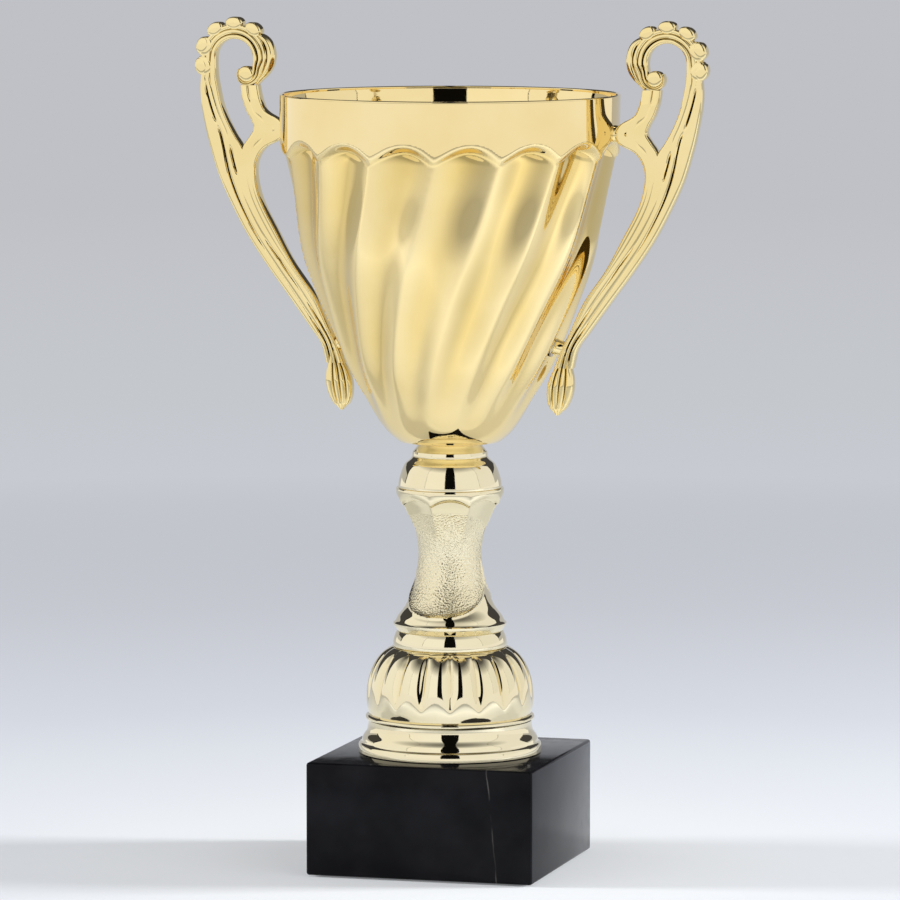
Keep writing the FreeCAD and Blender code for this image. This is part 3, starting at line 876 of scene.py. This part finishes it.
# ---------------------------------------------------------------- handles
@dataclass
class CastStrip:
    """A flat cast strip with ribs along it, the same on its front and back.

    The lines run along the strip from one edge to the other. The outer two are its edges, and a
    groove may follow each line between.
    """

    lines: Sequence[Sequence[Pair]]
    thickness: Keys
    grooves: Sequence[Keys] = ()
    first_edge: Keys = ((0.0, 0.8),)
    last_edge: Keys = ((0.0, 0.8),)
    crown: float = 0.06
    groove_width: float = 0.45
    steps: int = 7

    SHARES = (0.0, 0.03, 0.07, 0.13, 0.22, 0.36, 0.5, 0.64, 0.78, 0.87, 0.93, 0.97)

    def drop(self, distance: float, radius: float) -> float:
        """How far a rounded edge falls at a distance from the strip's side."""
        if radius <= 0.0 or distance >= radius:
            return 0.0
        return radius - math.sqrt(max(radius ** 2 - (radius - distance) ** 2, 0.0))

    def notch(self, distance: float) -> float:
        """The shape of a groove, from 1 in its middle to 0 beside it."""
        return max(1.0 - distance / self.groove_width, 0.0) ** 1.4

    def build(self) -> BMesh:
        """Shape a grid along the lines, wall it down to the middle and mirror it."""
        lines = [flow(line, self.steps) for line in self.lines]
        ribs = len(lines) - 1
        columns = [k + share for k in range(ribs) for share in self.SHARES] + [float(ribs)]
        rows = len(lines[0]) - 1
        bm = bmesh.new()
        bmesh.ops.create_grid(bm, x_segments=len(columns) - 1, y_segments=rows, size=0.5)
        tag = bm.verts.layers.float.new("hollow")
        slot = bm.verts.layers.float.new("groove")
        for vert in bm.verts:
            column = columns[round((vert.co.x + 0.5) * (len(columns) - 1))]
            row = round((vert.co.y + 0.5) * rows)
            station = row / self.steps
            rib = min(int(column), ribs - 1)
            share = column - rib
            a, b = Vector(lines[rib][row]), Vector(lines[rib + 1][row])
            width = (b - a).length
            point = a.lerp(b, share)
            height = keyed(self.thickness, station) - self.crown * (2.0 * share - 1.0) ** 2
            dip = 0.0
            for line, away in ((rib, share * width), (rib + 1, (1.0 - share) * width)):
                if 0 < line < ribs:
                    dip = max(dip, keyed(self.grooves[line - 1], station) * self.notch(away))
            if rib == 0:
                height -= self.drop(share * width, keyed(self.first_edge, station))
            if rib == ribs - 1:
                height -= self.drop((1.0 - share) * width, keyed(self.last_edge, station))
            vert.co = (point.x, -(height - dip), point.y)
            # Painted shade: the hollow and groove tags darken the gold in the grooves, near black on the
            # handles.
            vert[tag] = min(dip * 1.6, 1.0)
            vert[slot] = min(dip / 0.7, 1.0)
        rim = [e for e in bm.edges if e.is_boundary]
        walls = bmesh.ops.extrude_edge_only(bm, edges=rim)["geom"]
        for vert in walls:
            if isinstance(vert, bmesh.types.BMVert):
                vert.co.y = 0.0
        bmesh.ops.mirror(bm, geom=bm.verts[:] + bm.edges[:] + bm.faces[:], matrix=Matrix.Identity(4),
                         merge_dist=MERGE, axis="Y")
        bmesh.ops.remove_doubles(bm, verts=bm.verts, dist=MERGE)
        bmesh.ops.recalc_face_normals(bm, faces=bm.faces)
        return bm


class Side(Enum):
    """Which side of the cup a handle is on, with its turn about the axis in degrees."""

    RIGHT = 0.0
    LEFT = 180.0

    @property
    def word(self) -> str:
        """The side's name in piece names."""
        return self.name.lower()


@dataclass
class ScrollHandle:
    """One cast handle: ribbed arm, beaded loop, curl, leaf, neck, lug and foot leaf."""

    side: Side
    loop: float = 7.0
    rim_rib: float = 8.7
    loop_outer: float = 12.1
    bead_count: int = 5
    bead_pitch: float = 34.3
    bead_at: float = 12.54
    bead_size: tuple[float, float, float] = (2.3, 2.74, 3.2)
    half: float = 2.6
    out: float = 18.8
    up: float = 11.4
    lug_drop: float = 13.4

    def __post_init__(self) -> None:
        """Read the handle's place from the frame."""
        self.rim = reach("cup_bowl")
        self.top = high("cup_bowl")
        self.centre = (self.rim + self.out, self.top + self.up)

    def on_loop(self, radius: float, degrees: float) -> Pair:
        """A point round the loop's centre."""
        return polar(radius, degrees, self.centre)

    def at(self, x: float, drop: float) -> Pair:
        """A point beyond the rim by x, below the rim by drop."""
        return (self.rim + x, self.top - drop)

    def path(self, *points: Pair) -> list[Pair]:
        """The points of a line, each so far beyond the rim and below it."""
        return [self.at(x, drop) for x, drop in points]

    def arm_lines(self) -> list[list[Pair]]:
        """The five lines that the arm shares, from the foot up to the fork."""
        drops = [95.7, 89.0, 83.4, 72.3, 61.2, 50.0, 38.8, 30.5, 25.0, 20.1]
        edges = [
            [-14.9, -13.1, -9.2, -1.1, 7.1, 14.6, 20.6, 24.4, 26.3, 27.7],
            [-16.8, -15.1, -11.8, -4.1, 3.8, 11.2, 17.0, 20.2, 21.6, 22.6],
            [-18.7, -16.9, -14.0, -6.9, 0.9, 8.8, 14.6, 17.4, 19.0, 20.2],
            [-20.0, -17.9, -15.1, -9.0, -1.2, 6.2, 11.9, 14.2, 15.1, 15.7],
            [-21.6, -18.9, -16.1, -10.8, -3.1, 3.0, 8.8, 10.9, 10.6, 7.6],
        ]
        return [self.path(*zip(edge, drops)) for edge in edges]

    def main_ribbon(self) -> BMesh:
        """The outer ribbon: up the arm, round the loop and into the curl."""
        arm = self.arm_lines()
        fork = [
            self.path((28.8, 16.0), (30.0, 10.5), (31.0, 4.7), (31.4, -0.9), (31.1, -5.4)),
            self.path((23.9, 14.8), (25.8, 10.0), (27.5, 4.9), (28.9, -0.5), (29.4, -5.2)),
            self.path((21.4, 15.2), (23.6, 10.2), (25.5, 4.9), (27.0, -0.7), (27.8, -5.4)),
            self.path((18.3, 16.1), (21.3, 10.5), (23.5, 4.9), (24.8, -0.9), (25.6, -5.6)),
        ]
        round_at = (2, 22, 45, 68, 90, 112, 135, 158, 180)
        radii = (self.loop_outer, 10.5, self.rim_rib, self.loop)
        curl = [
            self.path((8.3, -7.7), (9.4, -4.4), (11.9, -2.4), (14.7, -1.9), (17.2, -3.3), (17.9, -6.0),
                      (17.3, -7.8)),
            self.path((12.0, -9.0), (12.15, -7.0), (12.8, -5.2), (14.3, -4.0), (16.0, -4.7), (16.8, -6.4),
                      (16.4, -7.5)),
        ]
        lines = []
        for index, radius in enumerate(radii):
            line = arm[index] + fork[index] + [self.on_loop(radius, angle) for angle in round_at]
            lines.append(line + between(*curl, index / 3.0))
        outer_groove = ((0, 0.8), (1.7, 0.75), (2.3, 0.05), (4.6, 0.05), (5.6, 0.5), (6.6, 0.85),
                        (9.9, 0.8), (10.4, 0), (10.8, 0), (11.2, 0.9), (12.9, 0.85), (13.5, 0), (14.4, 0.3),
                        (21.6, 0.3), (22.5, 0.6), (24.5, 0.4), (30, 0.15))
        inner_groove = ((0, 0.7), (2.2, 0.65), (2.8, 0), (3.6, 0.1), (4.2, 0.5), (4.8, 0), (7.2, 0),
                        (7.5, 0.8), (8.7, 0.75), (9.1, 0), (13, 0.08), (14, 0.35), (18.5, 0.4), (21.5, 0.8),
                        (24, 0.75), (25.5, 0.5), (30, 0.45))
        body = ((0, 2.45), (1, self.half), (22, self.half), (26, 2.5), (30, 2.35))
        return CastStrip(lines, body, (outer_groove, inner_groove), ((0, 0.8), (13, 0.7), (15, 0.4)),
                         ((8.4, 0), (9.3, 0.5))).build()

    def inner_ribbon(self) -> BMesh:
        """The inner ribbon: up the arm's inside, past the lug and up the neck to the curl."""
        arm = self.arm_lines()
        beyond = [
            self.path((13.2, 16.1), (11.6, 13.2), (12.5, 10.3), (14.1, 7.5), (15.2, 4.7), (16.0, 1.9),
                      (16.5, -2.1)),
            self.path((1.5, 16.7), (-0.1, self.lug_drop), (1.5, 10.4), (7.0, 7.0), (8.5, 4.3), (9.4, 1.3),
                      (10.0, -2.1)),
        ]
        crest = between(arm[3], arm[4], 0.5) + between(*beyond, 0.42)
        lines = [arm[3] + beyond[0], crest, arm[4] + beyond[1]]
        groove = ((0, 0.2), (3, 0), (14, 0), (15.2, 0.3), (16, 0.35))
        return CastStrip(lines, ((0, 2.45), (1, self.half), (14.5, self.half), (16, 2.45)), (groove,),
                         ((8.4, 0), (9.3, 0.5)), ((0, 0.6),)).build()

    def leaf(self) -> BMesh:
        """The ribbed leaf that wraps the loop on the cup's side."""
        angles = (128, 140, 152, 165, 178, 192, 206, 218, 228)
        radii = [
            (10.5, 10.5, 10.5, 10.5, 10.5, 10.5, 10.6, 10.9, 11.6),
            (11.2, 11.9, 12.3, 12.3, 12.1, 11.9, 11.7, 11.6, 12.1),
            (11.9, 13.6, 14.6, 14.9, 14.8, 14.3, 13.4, 12.7, 12.7),
        ]
        lines = [[self.on_loop(r, angle) for r, angle in zip(row, angles)] for row in radii]
        groove = ((0, 0), (1.6, 0.1), (2.2, 0.8), (4.2, 0.8), (5, 0.1), (8, 0))
        return CastStrip(lines, ((0, 2.3), (2, 2.75), (6, 2.75), (8, 2.5)), (groove,), ((0, 0.6),),
                         ((0, 1.3),), crown=0.3).build()

    def foot_leaf(self) -> BMesh:
        """The fluted leaf at the foot, close to the cup."""
        drops = (91.5, 95.2, 98.5, 102.0, 105.3, 108.2, 110.3, 111.3)
        outer = (-16.2, -15.7, -15.0, -14.8, -15.3, -16.4, -17.7, -19.2)
        inner = (-19.4, -21.1, -22.9, -24.0, -24.3, -23.9, -23.0, -21.7)
        shares = (0.0, 0.3, 0.54, 0.78, 1.0)
        lines = [[self.at(blend(a, b, share), drop + 1.2 * math.sin(math.pi * share) * (drop > 111.0))
                  for a, b, drop in zip(outer, inner, drops)] for share in shares]
        groove = ((0, 0.1), (1, 0.5), (3, 0.45), (5, 0.2), (5.8, 0))
        return CastStrip(lines, ((0, 2.2), (1, 2.4), (3, 2.65), (6, 2.2), (7, 1.5)), (groove,) * 3,
                         crown=0.22, groove_width=0.6).build()

    def button(self, centre: Pair, size: Sequence[float], degrees: float) -> BMesh:
        """A flat-faced boss with a rounded edge, the same on the handle's front and back.

        Args:
            centre: its place.
            size: half sizes outwards, through the handle and across.
            degrees: the direction of outwards.

        Returns:
            The boss.
        """
        face = [(0.12, 1.0), (0.5, 0.998), (0.72, 0.985), (0.85, 0.95), (0.94, 0.88), (0.985, 0.78),
                (1.0, 0.62)]
        bm = turn_solid([*face, *((r, -z) for r, z in reversed(face))], 32)
        laid = Matrix.Diagonal((*size, 1.0)) @ Matrix.Rotation(math.radians(90.0), 4, "X")
        turned = Matrix.Rotation(math.radians(-degrees), 4, "Y")
        moved = Matrix.Translation((centre[0], 0.0, centre[1]))
        bmesh.ops.transform(bm, matrix=moved @ turned @ laid, verts=bm.verts)
        return bm

    def bosses(self) -> list[BMesh]:
        """The beads on the loop, the collars under the lowest two and the heart of the curl."""
        made = []
        for k in range(self.bead_count):
            degrees = 90.0 + self.bead_pitch * (1 - k)
            made.append(self.button(self.on_loop(self.bead_at, degrees), self.bead_size, degrees))
            if k >= 3:
                made.append(self.button(self.on_loop(self.bead_at - 1.1, degrees), (2.9, 2.66, 3.7), degrees))
        made.append(self.button(self.at(14.4, -6.0), (3.0, 2.7, 2.8), 30.0))
        return made

    def stud(self, start: Pair, end: Pair, radii: Sequence[float]) -> BMesh:
        """A turned stud between the cup and the handle.

        Args:
            start: its end in the cup's wall.
            end: its end inside the handle.
            radii: its radius at even places along it.

        Returns:
            The stud.
        """
        first, last = Vector((start[0], 0.0, start[1])), Vector((end[0], 0.0, end[1]))
        axis = last - first
        pairs = flow([(r, axis.length * i / (len(radii) - 1)) for i, r in enumerate(radii)], 5)
        bm = turn([*pairs, (0.4, axis.length), (0.4, 0.0)], 32)
        turned = axis.to_track_quat("Z", "Y").to_matrix().to_4x4()
        bmesh.ops.transform(bm, matrix=Matrix.Translation(first) @ turned, verts=bm.verts)
        for vert in bm.verts:
            vert.co.y *= 0.88
        return bm

    def build(self) -> None:
        """Join every shell of the casting and turn it to its side."""
        casting = bmesh.new()
        shells = [self.main_ribbon(), self.inner_ribbon(), self.leaf(), self.foot_leaf(), *self.bosses()]
        upper = self.path((-0.65, self.lug_drop), (4.5, self.lug_drop))
        lower = self.path((-23.1, 87.8), (-17.2, 89.5))
        shells += [self.stud(*upper, (3.2, 3.0, 2.8, 2.9, 3.1)), self.stud(*lower, (2.9, 2.9, 2.7, 2.6))]
        for shell in shells:
            add_shell(casting, shell)
        bmesh.ops.rotate(casting, cent=(0, 0, 0), verts=casting.verts,
                         matrix=Matrix.Rotation(math.radians(self.side.value), 3, "Z"))
        node = f"handle_{self.side.word}"
        finish_piece(casting, f"{node}_casting", Finish.HANDLE.material(), Finish.HANDLE.slot, node)


# ---------------------------------------------------------------- hardware
@dataclass
class Hardware:
    """The rod, nuts, washers and screws, which keep their frame shapes."""

    zinc: tuple[str, ...] = ("tie_rod", "base_washer", "base_lock_washer", "base_nut", "cup_washer",
                             "handle_screws", "handle_washers")
    brass: tuple[str, ...] = ("cup_nut",)

    def build(self) -> None:
        """Dress each node."""
        for finish, nodes in ((Finish.ZINC, self.zinc), (Finish.BRASS, self.brass)):
            for node in nodes:
                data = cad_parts[node].data
                data.materials.clear()
                data.materials.append(finish.material())
                LOG.info("%s: %s", node, finish.slot)


# ---------------------------------------------------------------- studio
@dataclass(frozen=True)
class SoftBox:
    """A curved soft box, placed by its directions from the cup as the camera sees them."""

    name: str
    across: Pair
    above: Pair
    radiance: float


@dataclass(frozen=True)
class Lamp:
    """A square light that faces the cup, placed by its direction and distance."""

    name: str
    across: float
    above: float
    distance: float
    size: float
    energy: float
    mirrored: bool = True


@dataclass
class Studio:
    """Pale floor, soft boxes, a dark shell over them and the camera."""

    yaw: float = 15.7
    pitch: float = 5.88
    distance: float = 2.2847
    aim: float = 0.1477
    lens: float = 258.9
    film_width: float = 36.0
    heart: float = 0.19
    boxes: tuple[SoftBox, ...] = (
        SoftBox("box_left_front", (-58.0, -12.0), (2.0, 84.0), 1.04),
        SoftBox("box_left_rear", (-119.0, -58.5), (2.0, 80.0), 1.0),
        SoftBox("box_right_front", (12.0, 70.0), (2.0, 84.0), 0.98),
        SoftBox("box_right_rear", (70.5, 122.0), (2.0, 80.0), 0.92),
    )
    lamps: tuple[Lamp, ...] = (
        Lamp("overhead_left", -60.0, 86.0, 1.8, 0.16, 0.31),
        Lamp("overhead_right", 60.0, 86.0, 1.8, 0.16, 0.31),
        Lamp("side_right", 91.0, 7.0, 1.75, 0.34, 58.0, mirrored=False),
        Lamp("side_left", -91.0, 7.0, 1.75, 0.34, 37.0, mirrored=False),
    )
    box_distance: float = 1.9
    dim_heights: Pair = (1.3, 1.9)
    dim_share: float = 0.1
    roof_distance: float = 4.5
    card_distance: float = 2.05
    card_height: float = 0.275
    floor_radius: float = 40.0
    # Painted light on the floor: brighter just in front of the cup, dimmer further in front, and glowing by
    # itself away from the cup.
    painted_front_light: float = 1.42
    front_dimming: float = 0.62
    lit_share: float = 0.8
    glow_loss: float = 0.83

    def direction(self, across: float, above: float) -> Vector:
        """Unit vector from the cup, by degrees to the camera's right and degrees up."""
        turned, lifted = math.radians(self.yaw + across), math.radians(above)
        level = math.cos(lifted)
        return Vector((math.sin(turned) * level, -math.cos(turned) * level, math.sin(lifted)))

    def arc(self, distance: float, above: Pair, steps: int) -> list[Pair]:
        """The section of a curtain that stays at one distance from the heart of the cup."""
        return [polar(distance, blend(*above, k / steps), (0.0, self.heart)) for k in range(steps + 1)]

    def hang(self, lamp: Lamp) -> None:
        """Hang one light so that it faces the cup."""
        data = bpy.data.lights.new(lamp.name, "AREA")
        data.shape = "SQUARE"
        data.size = lamp.size
        data.energy = lamp.energy
        away = self.direction(lamp.across, lamp.above) * lamp.distance
        hung = bpy.data.objects.new(lamp.name, data)
        hung.location = away + Vector((0, 0, self.heart))
        hung.rotation_euler = away.to_track_quat("Z", "Y").to_euler()
        hung.visible_camera = False
        hung.visible_glossy = lamp.mirrored
        bpy.context.scene.collection.objects.link(hung)

    def glowing(self, name: str, colour: Colour) -> Shader:
        """Start a dull black material that glows in one colour."""
        shader = Shader(name)
        shader.dress(Base_Color=(0.0, 0.0, 0.0), Specular_IOR_Level=0.0, Emission_Color=colour,
                     Emission_Strength=1.0)
        return shader

    def card(self, name: str, colour: Colour) -> Material:
        """A material that glows evenly, but isn't sampled as a lamp."""
        shader = self.glowing(name, colour)
        shader.material.cycles.emission_sampling = "NONE"
        return shader.material

    def cloth(self, box: SoftBox) -> Material:
        """A soft box's front, which grows dim towards its top."""
        shader = self.glowing(box.name + "_cloth", (1.0, 1.0, 1.0))
        dimmed = (box.radiance, box.radiance * self.dim_share)
        shader.dress(Emission_Strength=shader.spread(shader.axis("Z"), self.dim_heights, dimmed))
        return shader.material

    def wall(self, name: str, section: Sequence[Pair], across: Pair, material: Material) -> None:
        """Spin a curtain round the cup.

        Args:
            name: the curtain's name.
            section: (distance, height) pairs in metres.
            across: where it starts and ends, in degrees to the camera's right.
            material: its material.
        """
        bm = bmesh.new()
        start = self.direction(across[0], 0.0)
        verts = [bm.verts.new(start * far + Vector((0, 0, tall))) for far, tall in section]
        edges = [bm.edges.new(pair) for pair in zip(verts, verts[1:])]
        bmesh.ops.spin(bm, geom=verts + edges, cent=(0, 0, 0), axis=(0, 0, 1), dvec=(0, 0, 0),
                       angle=math.radians(across[1] - across[0]), space=Matrix.Identity(4), steps=48,
                       use_merge=False, use_normal_flip=False, use_duplicate=False)
        self.set_up(bm, name, material)

    def set_up(self, bm: BMesh, name: str, material: Material, seen: bool = False) -> None:
        """Put a studio mesh in the scene.

        Args:
            bm: the mesh, which is freed.
            name: its name.
            material: its material.
            seen: whether the camera sees it.
        """
        mesh = bpy.data.meshes.new(name)
        bm.to_mesh(mesh)
        bm.free()
        mesh.materials.append(material)
        card = bpy.data.objects.new(name, mesh)
        bpy.context.scene.collection.objects.link(card)
        card.visible_camera = seen

    def floor_colour_and_falloff(self, shader: Shader, away: Socket) -> Socket:
        """The floor's colour with painted light falloff, from white at the cup to a cool grey 4 m away.

        Args:
            shader: the floor's material.
            away: distance from the cup in metres.

        Returns:
            The colour.
        """
        ramp = shader.node("ValToRGB")
        stops = ((0.0, (0.90, 0.925, 0.95)), (0.02, (0.87, 0.895, 0.93)), (0.045, (0.80, 0.83, 0.88)),
                 (0.1, (0.69, 0.72, 0.785)), (0.18, (0.63, 0.65, 0.705)), (0.29, (0.577, 0.597, 0.645)),
                 (0.43, (0.556, 0.576, 0.61)), (0.9, (0.525, 0.532, 0.565)))
        ramp.color_ramp.elements[0].color = (*stops[0][1], 1.0)
        ramp.color_ramp.elements[1].position = stops[-1][0]
        ramp.color_ramp.elements[1].color = (*stops[-1][1], 1.0)
        for place, colour in stops[1:-1]:
            ramp.color_ramp.elements.new(place).color = (*colour, 1.0)
        shader.join(shader.spread(away, (0.0, 4.0), (0.0, 1.0)), ramp.inputs["Fac"])
        return ramp.outputs["Color"]

    def floor_glow_and_paint(self) -> Material:
        """Floor that is lit by the lamps near the cup and mostly glows by itself further off, as painted
        light; a painted pool of light lies just in front of the cup, with painted shade further in front.
        """
        shader = Shader("floor_glow_and_paint")
        flat = shader.node("VectorMath", operation="LENGTH")
        shader.join(shader.place, flat.inputs[0])
        away = flat.outputs["Value"]
        ahead = shader.node("VectorMath", operation="DOT_PRODUCT")
        shader.join(shader.place, ahead.inputs[0])
        ahead.inputs[1].default_value = self.direction(0.0, 0.0)
        forward = ahead.outputs["Value"]
        # Painted light: brighter on the floor just in front of the cup, dimmer further in front.
        painted_front_light = shader.combine("MULTIPLY", shader.spread(forward, (0.08, 0.25), (1.0, self.painted_front_light)),
                               shader.spread(forward, (0.45, 1.1), (1.0, self.front_dimming)))
        # Painted light: away from the cup the floor's own glow takes over from the lamps.
        near = shader.spread(away, (0.35, 1.3), (1.0, 0.0))
        lit = shader.combine("MULTIPLY", near, self.lit_share)
        own = shader.combine("SUBTRACT", 1.0, shader.combine("MULTIPLY", near, self.glow_loss))
        tone_and_falloff = self.floor_colour_and_falloff(shader, away)
        shader.dress(Base_Color=shader.scaled(tone_and_falloff, shader.combine("MULTIPLY", lit, painted_front_light)),
                     Emission_Color=shader.scaled(tone_and_falloff, shader.combine("MULTIPLY", own, painted_front_light)),
                     Emission_Strength=1.0, Roughness=0.85, Specular_IOR_Level=0.0)
        shader.material.cycles.emission_sampling = "NONE"
        return shader.material

    def floor(self) -> None:
        """Lay a wide floor under the cup."""
        bm = bmesh.new()
        bmesh.ops.create_circle(bm, cap_ends=True, segments=96, radius=self.floor_radius)
        self.set_up(bm, "floor", self.floor_glow_and_paint(), seen=True)

    def shell(self) -> None:
        """Dark roof and rear above the horizon, and a low white surround in front."""
        black = self.card("black_cloth", (0.004, 0.004, 0.004))
        dark = self.card("dark_cloth", (0.06, 0.06, 0.066))
        roofs = (("roof_front", 2.5, (-122.0, 122.0), black), ("roof_rear", 11.0, (122.0, 238.0), dark))
        for name, first, across, cloth in roofs:
            self.wall(name, self.arc(self.roof_distance, (first, 89.0), 10), across, cloth)
        low_card = [(self.card_distance, 0.0), (self.card_distance, self.card_height)]
        self.wall("white_surround", low_card, (-145.0, 140.0), self.card("white_card", (0.98, 0.98, 1.0)))

    def camera(self) -> None:
        """Stand the camera where it sees the cup from a little above."""
        data = bpy.data.cameras.new("camera")
        data.lens = self.lens
        data.sensor_width = self.film_width
        data.clip_end = 5.0 * self.floor_radius
        seen_from = bpy.data.objects.new("camera", data)
        back = self.direction(0.0, self.pitch)
        seen_from.location = Vector((0, 0, self.aim)) + back * self.distance
        seen_from.rotation_euler = back.to_track_quat("Z", "Y").to_euler()
        bpy.context.scene.collection.objects.link(seen_from)
        bpy.context.scene.camera = seen_from

    def build(self) -> None:
        """Set up the floor, the shell, the lights and the camera."""
        scene = bpy.context.scene
        scene.view_settings.view_transform = "Standard"
        world = bpy.data.worlds.new("studio_air")
        world.use_nodes = True
        world.node_tree.nodes["Background"].inputs["Color"].default_value = (0.52, 0.53, 0.565, 1.0)
        scene.world = world
        self.floor()
        self.shell()
        for box in self.boxes:
            self.wall(box.name, self.arc(self.box_distance, box.above, 12), box.across, self.cloth(box))
        for lamp in self.lamps:
            self.hang(lamp)
        self.camera()


def main() -> None:
    """Build and dress the whole cup."""
    logging.basicConfig(level=logging.INFO, format="%(name)s %(message)s")
    Studio().build()
    MarbleBlock().build()
    FeltPads().build()
    Riser().build()
    FlutedCup().build()
    for side in Side:
        ScrollHandle(side).build()
    Hardware().build()


if __name__ == "__main__":
    main()
